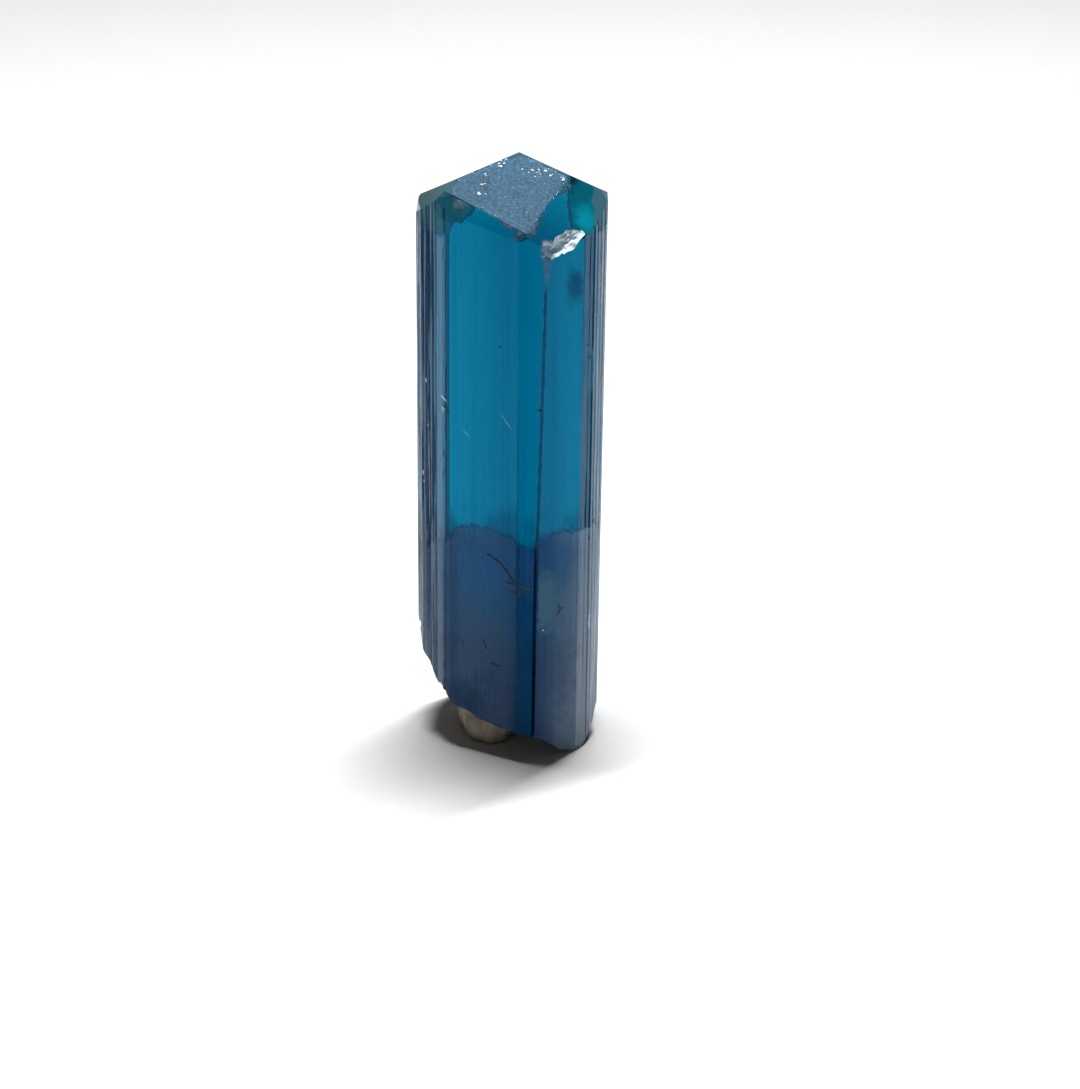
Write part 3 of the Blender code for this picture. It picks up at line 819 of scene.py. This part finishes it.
def addCaps(tube, count):
    body = bmesh.new()
    body.from_mesh(tube.data)
    body.verts.ensure_lookup_table()
    footRing = body.verts[:count]
    topRing = body.verts[len(body.verts) - count:]
    for vertex in footRing:
        vertex.co.z = breakHeight(*drawingPlan(vertex.co)) * mm
    body.faces.new(topRing)
    fillSheet(body, footRing, breakage["spacing"], breakHeight, 6)
    apex = (*prism["apex"], prism["height"])
    planes = [(azimuth, prism["slope"], apex) for azimuth in prism["azimuths"]]
    planes.extend(prism["bevels"] + prism["shoulders"])
    for azimuth, slope, through in planes:
        parts = body.verts[:] + body.edges[:] + body.faces[:]
        cut = bmesh.ops.bisect_plane(body, geom=parts, dist=1e-8, plane_co=place(*through),
                                     plane_no=planeNormal(azimuth, slope), clear_outer=True)
        rim = [part for part in cut["geom_cut"] if isinstance(part, bmesh.types.BMEdge)]
        bmesh.ops.edgeloop_fill(body, edges=rim)
    body.normal_update()
    rng = random.Random(8)

    def openFace(azimuth, slope):
        facing = planeNormal(azimuth, slope)
        found = max(body.faces, key=lambda face: abs(face.normal.dot(facing)) ** 200 * face.calc_area())
        rim = list(found.verts)
        bmesh.ops.delete(body, geom=[found], context="FACES_ONLY")
        return rim

    def grainy(x, y):
        inside = max(0.0, min(1.0, etchBorder(x, y) / 0.3))
        return etchHeight(x, y) - etching["grain"] * rng.uniform(0.0, 2.0) * inside

    fillSheet(body, openFace(0.0, prism["slope"]), etching["spacing"], grainy, 7,
              lambda x, y: etchBorder(x, y) > -0.35)
    for bevel in prism["bevels"]:
        fillSheet(body, openFace(*bevel[:2]), etching["spacing"], lambda x, y: bevelHeight(bevel, x, y), 9,
                  lambda x, y: abs(etchBorder(x, y)) < 0.45)
    bmesh.ops.recalc_face_normals(body, faces=body.faces)
    body.to_mesh(tube.data)
    body.free()


def cutChips(tube):
    # all pebbles are one cutter; its second material slot marks the cut faces
    lumps = bmesh.new()
    pebbles = [(chips["chip"], 5)] + [(nick, 3) for nick in chips["nicks"]]
    for number, ((centre, size, tilt, turn), finer) in enumerate(pebbles):
        rng = random.Random(60 + number)
        ball = bmesh.ops.create_icosphere(lumps, subdivisions=finer, radius=1.0)["verts"]
        spin = Matrix.Rotation(math.radians(turn), 3, "Z") @ Matrix.Rotation(math.radians(-tilt), 3, "Y")
        for vertex in ball:
            x, y, z = vertex.co
            swell = 1.0 + chips["lumps"] * waveNoise(x * 2.0 + z, y * 2.0 - z, 70 + number, 1.6)
            small = chips["smallLumps"] * chips["lumps"]
            swell += small * waveNoise(x * 3.0 - y, z * 3.0 + y, 80 + number, 0.7)
            if finer > 4:  # the large chip is rough
                swell += chips["chipRoughness"] * waveNoise(x * 5.0 + y, z * 3.0 - y, 90, 0.8)
            swell += rng.uniform(-chips["jitter"], chips["jitter"])
            local = spin @ Vector((x * size[0] * swell, y * size[1] * swell, z * size[2] * swell))
            vertex.co = place(centre[0] + local.x, centre[1] + local.y, centre[2] + local.z)
    for face in lumps.faces:
        face.material_index = 1
    mesh = bpy.data.meshes.new("pebbles")
    lumps.to_mesh(mesh)
    lumps.free()
    marker = bpy.data.materials.new("pebbleMarker")
    for _ in range(2):
        mesh.materials.append(marker)
    cutter = newObject("pebbles", mesh)
    tube.data.materials.append(marker)
    modifier = tube.modifiers.new("chips", "BOOLEAN")
    modifier.operation = "DIFFERENCE"
    modifier.solver = "EXACT"
    modifier.object = cutter
    applyModifier(tube, modifier)
    bpy.data.objects.remove(cutter)


# grey haze of each side, partly real cloudiness and partly a painted reflection in its pale share: its
# strength and paleness above the cloudy border, then at the side's first and last corner below it
sideHazeAndSheen = (
    (0.0, 0.0, 0.55, 0.1, 0.05, 0.0), (0.0, 0.0, 0.02, 0.0, 0.02, 0.0), (0.0, 0.0, 0.03, 0.1, 0.58, 0.5),
    (0.0, 0.0, 0.8, 0.7, 0.85, 0.7), (0.04, 0.5, 0.85, 0.7, 0.85, 0.7), (0.0, 0.0, 0.5, 0.6, 0.5, 0.6),
    (0.82, 0.9, 0.85, 1.0, 0.85, 1.0), (0.35, 0.9, 0.4, 0.9, 0.4, 0.9), (0.1, 0.5, 0.2, 0.5, 0.2, 0.5),
    (0.0, 0.0, 0.2, 0.3, 0.2, 0.3), (0.0, 0.0, 0.2, 0.3, 0.2, 0.3), (0.0, 0.0, 0.2, 0.3, 0.2, 0.3),
    (0.1, 0.3, 0.3, 0.4, 0.3, 0.4), (0.3, 0.6, 0.4, 0.5, 0.4, 0.5), (0.6, 0.9, 0.6, 0.8, 0.6, 0.8),
    (0.42, 0.05, 0.65, 0.2, 0.65, 0.2), (0.8, 0.7, 0.8, 0.5, 0.8, 0.5), (0.1, 0.0, 0.55, 0.1, 0.6, 0.1),
)

shadedSides = {3: 0.9, 4: 1.0, 5: 0.9, 15: 0.8, 17: 1.0}  # sides with painted shade above the border


def markFaces(mesh):
    count = len(mesh.polygons)
    centres = np.empty(count * 3)
    mesh.polygons.foreach_get("center", centres)
    centres = centres.reshape(-1, 3) / mm + np.array((*drawingCentre, 0.0))
    normals = np.empty(count * 3)
    mesh.polygons.foreach_get("normal", normals)
    normals = normals.reshape(-1, 3)
    slots = np.empty(count, dtype=np.int32)
    mesh.polygons.foreach_get("material_index", slots)
    chipped = slots == 1
    roof = (normals[:, 2] > 0.3) & (centres[:, 2] > 30.0) & ~chipped
    ground = (normals[:, 2] < -0.25) & (centres[:, 2] < 11.0) & ~chipped
    wall = ~(roof | ground | chipped)
    share = centres[:, 2] / prism["height"]
    nearest = np.full(count, 1e9)
    side = np.zeros(count, dtype=int)
    spot = np.zeros(count)
    corners = prism["corners"]
    for index, start in enumerate(corners):
        end = corners[(index + 1) % len(corners)]
        startX = start[1] + (start[0] - start[1]) * share
        endX = end[1] + (end[0] - end[1]) * share
        stepX = endX - startX
        stepY = end[2] - start[2]
        square = stepX ** 2 + stepY ** 2
        along = ((centres[:, 0] - startX) * stepX + (centres[:, 1] - start[2]) * stepY) / square
        along = np.clip(along, 0.0, 1.0)
        gap = np.hypot(startX + along * stepX - centres[:, 0], start[2] + along * stepY - centres[:, 1])
        closer = gap < nearest
        nearest[closer] = gap[closer]
        side[closer] = index
        spot[closer] = along[closer]
    tones = np.array(sideHazeAndSheen)[side]
    sideShading = np.array([shadedSides.get(index, 0.0) for index in range(len(corners))])
    bevelled = np.zeros(count, dtype=bool)
    for bevel in prism["bevels"]:
        bevelled |= normals @ np.array(planeNormal(*bevel[:2])) > 0.99
    marks = {
        "haze": tones[:, 0] * wall,
        # the pale share of the haze is a painted reflection
        "pale": tones[:, 1] * wall,
        "sideShade": sideShading[side] * wall,
        "rim": roof & ~bevelled,
        "hazeLow": (tones[:, 2] + (tones[:, 4] - tones[:, 2]) * spot ** 2) * wall,
        "paleSheenLow": (tones[:, 3] + (tones[:, 5] - tones[:, 3]) * spot) * wall,
        "broken": ground,
        "chipped": chipped,
        "etched": roof & (normals[:, 1] < 0.2),
    }
    for name, values in marks.items():
        setAttribute(mesh, name, values, "FACE")
    frost = [etchBorder(*drawingPlan(vertex.co)) if vertex.co.z > 33.0 * mm else -1.0
             for vertex in mesh.vertices]
    setAttribute(mesh, "frost", frost)
    mesh.polygons.foreach_set("material_index", np.zeros(count, dtype=np.int32))
    mesh.polygons.foreach_set("use_smooth", ground | chipped)
    print("crystal faces", count, "chipped", int(chipped.sum()), "broken", int(ground.sum()),
          "roof", int(roof.sum()))


def makeCrystal():
    material = makeTourmaline()
    tube, count = buildTube(material)
    addCaps(tube, count)
    print("crystal tube and caps", len(tube.data.polygons))
    cutChips(tube)
    markFaces(tube.data)
    tube.name = "crystalBody"
    tube.data.name = "crystalBody"
    tube.data.materials.clear()
    tube.data.materials.append(material)
    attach(tube, "root")
    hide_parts("crystal")


# grains, flecks and cracks

grains = {
    "glintSpots": (
        (-0.49, -0.41), (-0.78, -0.73), (0.81, -0.93), (1.05, -1.05), (1.46, -1.23), (1.76, -1.07),
        (2.17, -1.06), (2.41, -1.44), (2.88, -1.66), (-1.41, -1.5), (-1.75, -2.12), (-1.73, -2.87),
    ),
    "glintSize": 0.075,
    "glintSpread": (0.16, 0.7),  # across, and its share along y
    "dustCount": 130,
    "dustSize": 0.032,
    "dustBox": (-4.2, 3.4, -6.0, 0.0),
    "dustRimGap": 0.15,
    # the dust stays between two lines: x on each where y is 0, and how x changes with y
    "dustLeft": (-7.9, -1.552),
    "dustRight": (4.0, 0.547),
    "seed": 17,
}


def makeSpeckMaterial(name, first, second, roughness):
    material, tree, shader = newMaterial(name)
    noise = noiseOn(tree, drawingCoords(tree), 0.12, detail=3.0)
    tone = mixColour(tree, fadeBetween(tree, noise, 0.35, 0.65), first, second)
    feed(tree, shader.inputs["Base Color"], tone)
    feed(tree, shader.inputs["Roughness"], mixValue(tree, noise, roughness, min(1.0, roughness + 0.25)))
    feed(tree, shader.inputs["Normal"], addBump(tree, noise, 0.02, 0.6))
    return material


def scatterGrains(name, tree, marks, material, thickness, unevenness, lumps, seed):
    # marks: spot, aim, facing, half length, half width
    spots, aims, facings, lengths, widths = zip(*marks)
    mesh = bpy.data.meshes.new(name)
    mesh.from_pydata([place(*spot) for spot in spots], [], [])
    setAttribute(mesh, "aim", aims)
    setAttribute(mesh, "facing", facings)
    setAttribute(mesh, "stretch", [length * mm for length in lengths])
    setAttribute(mesh, "girth", [width * mm for width in widths])
    thing = newObject(name, mesh)
    runTree(thing, tree, {"Thickness": thickness, "Unevenness": unevenness, "Lumps": lumps * mm,
                          "Seed": seed, "Material": material})
    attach(thing, "root")
    print(name, len(thing.data.polygons), "faces")


def etchedSpot(x, y, sink):
    return (x, y, etchHeight(x, y) - sink)


def makeGrains(tree):
    rng = random.Random(grains["seed"])
    front = planeNormal(0.0, prism["slope"])
    marks = []
    across, along = grains["glintSpread"]
    for x, y in grains["glintSpots"]:
        for _ in range(rng.randint(2, 4)):
            spotX = x + rng.gauss(0.0, across)
            spotY = y + rng.gauss(0.0, across * along)
            size = grains["glintSize"] * rng.uniform(0.5, 1.15)
            aim = Vector((rng.uniform(-1, 1), rng.uniform(-1, 1), 0.0)).normalized()
            marks.append((etchedSpot(spotX, spotY, 0.01), aim, front, size * rng.uniform(1.0, 1.6), size))
    dust = []
    left, right, bottom, top = grains["dustBox"]
    leftX, leftLean = grains["dustLeft"]
    rightX, rightLean = grains["dustRight"]
    while len(dust) < grains["dustCount"]:
        x = rng.uniform(left, right)
        y = rng.uniform(bottom, top)
        inside = leftX + leftLean * y <= x <= rightX + rightLean * y
        inside = inside and etchBorder(x, y) >= grains["dustRimGap"]
        if not inside or rng.random() > 0.35 + 0.65 * (y + 6.0) / 6.0:  # thinner towards the front
            continue
        size = grains["dustSize"] * rng.uniform(0.5, 1.3)
        aim = Vector((rng.uniform(-1, 1), rng.uniform(-1, 1), 0.0)).normalized()
        dust.append((etchedSpot(x, y, 0.012), aim, front, size * rng.uniform(0.8, 1.5), size))
    # the bright grains are painted glints of light on the etched patch, and the grey ones are dust
    bright = makeSpeckMaterial("glintWhite", (0.62, 0.74, 0.86), (0.92, 0.97, 1.0), 0.2)
    dull = makeSpeckMaterial("glintGrey", (0.26, 0.33, 0.4), (0.42, 0.5, 0.58), 0.3)
    scatterGrains("frostGlints", tree, marks, bright, 0.55, 0.3, 0.02, 3)
    scatterGrains("frostDust", tree, dust, dull, 0.55, 0.3, 0.02, 4)


# flecks and cracks: from, to, half width; a fleck lies on the face and a crack a little under it
marksOnFaces = {
    "flecks": (
        ((-0.5, -5.52, 22.91), (0.22, -5.94, 22.0), 0.012),
        ((-4.08, -3.33, 23.21), (-3.71, -3.72, 22.91), 0.05),
        ((-2.73, -4.25, 21.33), (-2.31, -4.49, 20.98), 0.01),
        ((-5.05, -2.0, 23.8), (-5.01, -2.06, 23.55), 0.045),
        ((-4.93, -2.19, 20.95), (-4.91, -2.23, 20.78), 0.04),
        ((-5.25, -1.7, 17.75), (-5.24, -1.72, 17.42), 0.05),
        ((-5.2, -1.78, 17.12), (-5.18, -1.81, 17.0), 0.04), ((2.2, -5.85, 9.0), (2.2, -5.85, 8.9), 0.055),
    ),
    "cracks": (
        ((-1.3, -5.08, 13.62), (-0.9, -5.31, 13.52), 0.05),
        ((-0.95, -5.28, 13.52), (-0.45, -5.56, 13.2), 0.06),
        ((-0.48, -5.54, 13.22), (0.1, -5.87, 12.55), 0.06),
        ((0.05, -5.85, 12.6), (0.42, -6.05, 12.05), 0.07), ((-0.1, -5.76, 12.05), (0.75, -6.1, 11.95), 0.1),
        ((0.65, -6.1, 12.1), (1.25, -6.1, 11.8), 0.09), ((1.1, -6.1, 11.85), (1.6, -6.1, 11.95), 0.08),
        ((0.2, -5.94, 11.55), (0.75, -6.1, 11.3), 0.07), ((0.85, -6.1, 11.9), (0.62, -6.1, 11.1), 0.06),
        ((1.35, -6.1, 12.5), (1.55, -6.1, 12.95), 0.07), ((3.0, -5.29, 10.45), (3.46, -4.97, 9.98), 0.03),
        ((3.0, -5.29, 9.66), (3.48, -4.96, 10.14), 0.03), ((3.16, -5.18, 10.5), (3.24, -5.12, 9.62), 0.025),
        ((-2.98, -4.11, 7.56), (-2.6, -4.32, 6.98), 0.05),
        ((-1.54, -4.93, 7.95), (-1.29, -5.08, 7.21), 0.04),
        ((-1.03, -5.22, 6.4), (-0.41, -5.58, 6.3), 0.05),
        ((4.66, -3.88, 26.75), (4.67, -3.87, 26.58), 0.06),
        ((4.8, -3.69, 25.95), (4.8, -3.68, 25.72), 0.06),
        ((-0.53, -5.51, 27.12), (-0.5, -5.53, 26.94), 0.05),
        ((1.75, -6.1, 23.35), (1.95, -6.02, 23.2), 0.07), ((-3.95, -3.5, 22.6), (-3.7, -3.68, 22.35), 0.05),
        ((-3.7, -3.68, 22.4), (-3.62, -3.74, 22.1), 0.05),
    ),
    "crackDepth": 0.03,
    "crackWidth": 1.4,
}


def lineMarks(lines, sink):
    marks = []
    corners = prism["corners"]
    for start, end, half in lines:
        middle = (Vector(start) + Vector(end)) / 2.0
        inward = (0.0, 1.0)
        nearest = 1e9
        for index, first in enumerate(corners):
            last = corners[(index + 1) % len(corners)]
            side = sideInward(first, last)
            gap = abs((middle.x - first[1]) * side[0] + (middle.y - first[2]) * side[1])
            across = (last[0] - first[0], last[2] - first[2])
            square = across[0] ** 2 + across[1] ** 2
            along = ((middle.x - first[0]) * across[0] + (middle.y - first[2]) * across[1]) / square
            if -0.1 <= along <= 1.1 and gap < nearest:
                nearest = gap
                inward = side
        spot = middle + Vector((*inward, 0.0)) * sink
        aim = Vector(end) - Vector(start)
        marks.append((spot, aim.normalized(), (*inward, 0.0), aim.length * 0.55, half))
    return marks


def makeMarks(tree):
    pale = makeSpeckMaterial("fleckPale", (0.6, 0.74, 0.88), (0.92, 0.97, 1.0), 0.35)
    dark = makeSpeckMaterial("crackDark", (0.004, 0.016, 0.028), (0.012, 0.035, 0.055), 0.6)
    scatterGrains("faceFlecks", tree, lineMarks(marksOnFaces["flecks"], 0.0), pale, 0.5, 0.2, 0.015, 5)
    wide = [(start, end, half * marksOnFaces["crackWidth"]) for start, end, half in marksOnFaces["cracks"]]
    scatterGrains("innerCracks", tree, lineMarks(wide, marksOnFaces["crackDepth"]),
                  dark, 0.6, 0.2, 0.03, 6)


# the putty

putty = {
    "centre": (-0.55, -0.55),
    "reach": (
        (0, 2.9), (45, 3.0), (90, 3.0), (135, 3.1), (180, 2.6), (208, 2.65), (238, 3.25), (262, 3.45),
        (276, 3.15), (292, 2.3), (320, 2.2), (342, 2.6), (360, 2.9),
    ),
    "side": ((0.9, 0.0), (1.0, 0.22), (1.02, 0.45), (0.97, 0.72), (0.86, 1.0)),
    "gap": 0.03,  # to the crystal's broken end
    "spokes": 150,
    "levels": 16,
    "topRings": 14,
    "waver": (0.02, 0.012),  # coarse and fine, as shares of the reach
    "shoulder": (0.85, 0.05),  # the level where the side starts to round off, and by how much
    "pale": (0.36, 0.31, 0.25),
    "deep": (0.21, 0.16, 0.11),
    "fleck": (0.44, 0.4, 0.34),
}


def puttyReach(angle):
    degrees = math.degrees(angle) % 360.0
    for (low, first), (high, second) in zip(putty["reach"], putty["reach"][1:]):
        if low <= degrees <= high:
            blend = (degrees - low) / (high - low)
            return first + (second - first) * blend * blend * (3.0 - 2.0 * blend)
    return putty["reach"][0][1]


def puttySide(level):
    side = putty["side"]
    for (first, low), (second, high) in zip(side, side[1:]):
        if low <= level <= high:
            blend = (level - low) / (high - low)
            return first + (second - first) * blend
    return side[-1][0]


def makePuttyMaterial():
    material, tree, shader = newMaterial("puttyWax")
    coords = drawingCoords(tree)
    cloud = noiseOn(tree, coords, 1.4, detail=3.0)
    fine = noiseOn(tree, coords, 0.18, detail=4.0)
    colour = mixColour(tree, fadeBetween(tree, cloud, 0.35, 0.65), putty["pale"], putty["deep"])
    colour = mixColour(tree, fadeBetween(tree, fine, 0.55, 0.75, 0.0, 0.4), colour, putty["fleck"])
    feed(tree, shader.inputs["Base Color"], colour)
    feed(tree, shader.inputs["Roughness"], mixValue(tree, fine, 0.45, 0.75))
    feed(tree, shader.inputs["Normal"], addBump(tree, fine, 0.05, 0.5))
    shader.inputs["Subsurface Weight"].default_value = 0.25
    shader.inputs["Subsurface Radius"].default_value = (1.0, 0.55, 0.3)
    shader.inputs["Subsurface Scale"].default_value = 0.6 * mm
    return material


def makePutty():
    body = bmesh.new()
    rings = []
    spokes = putty["spokes"]
    levels = putty["levels"]
    coarse, fine = putty["waver"]
    roundFrom, roundBy = putty["shoulder"]

    def addRing(share, level, drop=0.0):
        ring = []
        for spoke in range(spokes):
            angle = math.tau * spoke / spokes
            ripple = math.sin(math.pi * min(1.0, level))
            swing = coarse * waveNoise(angle * 3.0, level * 2.0, 31, 2.0)
            swing += fine * waveNoise(angle * 9.0, level * 3.0, 32, 1.3) * ripple
            reach = puttyReach(angle) * share * (1.0 + swing)
            x = putty["centre"][0] + reach * math.cos(angle)
            y = putty["centre"][1] + reach * math.sin(angle)
            height = (breakHeight(x, y) - putty["gap"]) * level - drop
            ring.append(body.verts.new(place(x, y, max(0.0, height))))
        rings.append(ring)

    for step in range(levels + 1):
        level = step / levels
        drop = roundBy * max(0.0, (level - roundFrom) / (1.0 - roundFrom)) ** 2
        addRing(puttySide(level), level, drop)
    for step in range(1, putty["topRings"]):
        share = putty["side"][-1][0] * (1.0 - step / putty["topRings"])
        addRing(share, 1.0)
    for lower, upper in zip(rings, rings[1:]):
        for spoke in range(spokes):
            body.faces.new((lower[spoke - 1], lower[spoke], upper[spoke], upper[spoke - 1]))
    crownX, crownY = putty["centre"]
    crown = body.verts.new(place(crownX, crownY, breakHeight(crownX, crownY) - putty["gap"]))
    bottom = body.verts.new(place(crownX, crownY, 0.0))
    for spoke in range(spokes):
        body.faces.new((rings[-1][spoke - 1], rings[-1][spoke], crown))
        body.faces.new((rings[0][spoke], rings[0][spoke - 1], bottom))
    bmesh.ops.recalc_face_normals(body, faces=body.faces)
    mesh = bpy.data.meshes.new("puttyDab")
    body.to_mesh(mesh)
    body.free()
    mesh.polygons.foreach_set("use_smooth", np.ones(len(mesh.polygons), dtype=bool))
    mesh.materials.append(makePuttyMaterial())
    thing = newObject("puttyDab", mesh)
    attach(thing, "root")
    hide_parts("putty_dab")
    print("putty", len(mesh.polygons), "faces")


# floor, light and camera

stage = {
    "floorSize": 6.0,
    "floorColours": ((0.8, 0.8, 0.8), (0.81, 0.81, 0.81)),
    "lightColour": (0.975, 0.99, 1.0),
    "skyColour": (0.95, 0.98, 1.0),
    "skyOnFloorColour": (1.0, 0.96, 0.84),
    "lightAt": (0.01, 0.048, 0.36),
    "lightSize": (0.18, 0.024),
    "lightTurn": 32.0,
    "lightPower": 2.2,
    "fill": 0.3,
    "floorFill": 0.045,
}


def makeStage():
    material, tree, shader = newMaterial("whiteSheet")
    noise = noiseOn(tree, drawingCoords(tree), 3.0, detail=3.0)
    feed(tree, shader.inputs["Base Color"], mixColour(tree, noise, *stage["floorColours"]))
    shader.inputs["Roughness"].default_value = 0.9
    half = stage["floorSize"] / 2.0
    mesh = bpy.data.meshes.new("floor")
    corners = [(-half, -half, 0), (half, -half, 0), (half, half, 0), (-half, half, 0)]
    mesh.from_pydata(corners, [], [(0, 1, 2, 3)])
    mesh.materials.append(material)
    floor = newObject("floor", mesh)

    lamp = bpy.data.lights.new("softBox", "AREA")
    lamp.shape = "ELLIPSE"
    lamp.size, lamp.size_y = stage["lightSize"]
    lamp.color = stage["lightColour"]
    lamp.energy = stage["lightPower"]
    light = newObject("softBox", lamp)
    light.visible_glossy = False  # no glare of the lamp on the flat faces
    light.location = stage["lightAt"]
    light.rotation_euler = (0.0, 0.0, math.radians(stage["lightTurn"]))

    world = bpy.data.worlds.new("roomFill")
    world.use_nodes = True
    tree = world.node_tree
    sky = tree.nodes["Background"]
    floorLit = addNode(tree, "ShaderNodeLightPath").outputs["Is Diffuse Ray"]
    feed(tree, sky.inputs["Color"], mixColour(tree, floorLit, stage["skyColour"], stage["skyOnFloorColour"]))
    feed(tree, sky.inputs["Strength"], mixValue(tree, floorLit, stage["fill"], stage["floorFill"]))
    bpy.context.scene.world = world
    print("stage ready")


view = {
    "target": (1.9593, 0.0, 12.1626),
    "elevation": 22.8324,
    "distance": 177.8289,
    "lens": 94.8,
    "roll": 0.6807,
}


def makeCamera():
    tilt = math.radians(view["elevation"])
    roll = math.radians(view["roll"])
    forward = Vector((0.0, math.cos(tilt), -math.sin(tilt)))
    level = Vector((1.0, 0.0, 0.0))
    right = level * math.cos(roll) + level.cross(forward) * math.sin(roll)
    up = right.cross(forward)
    data = bpy.data.cameras.new("photoView")
    data.lens = view["lens"]
    data.sensor_width = 36.0
    data.sensor_fit = "HORIZONTAL"
    data.clip_start = 0.01
    data.clip_end = 20.0
    camera = newObject("photoView", data)
    spot = place(*view["target"]) - forward * view["distance"] * mm
    turn = Matrix((right, up, -forward)).transposed().to_4x4()
    camera.matrix_world = Matrix.Translation(spot) @ turn
    bpy.context.scene.camera = camera


def setLook():
    scene = bpy.context.scene
    scene.view_settings.view_transform = "Standard"
    scene.view_settings.look = "None"
    scene.cycles.max_bounces = 24
    scene.cycles.transmission_bounces = 24
    scene.cycles.glossy_bounces = 12
    scene.cycles.caustics_reflective = False
    scene.cycles.caustics_refractive = False


setLook()
makeCamera()
makeStage()
makeCrystal()
grainNodes = grainTree()
makeGrains(grainNodes)
makeMarks(grainNodes)
makePutty()
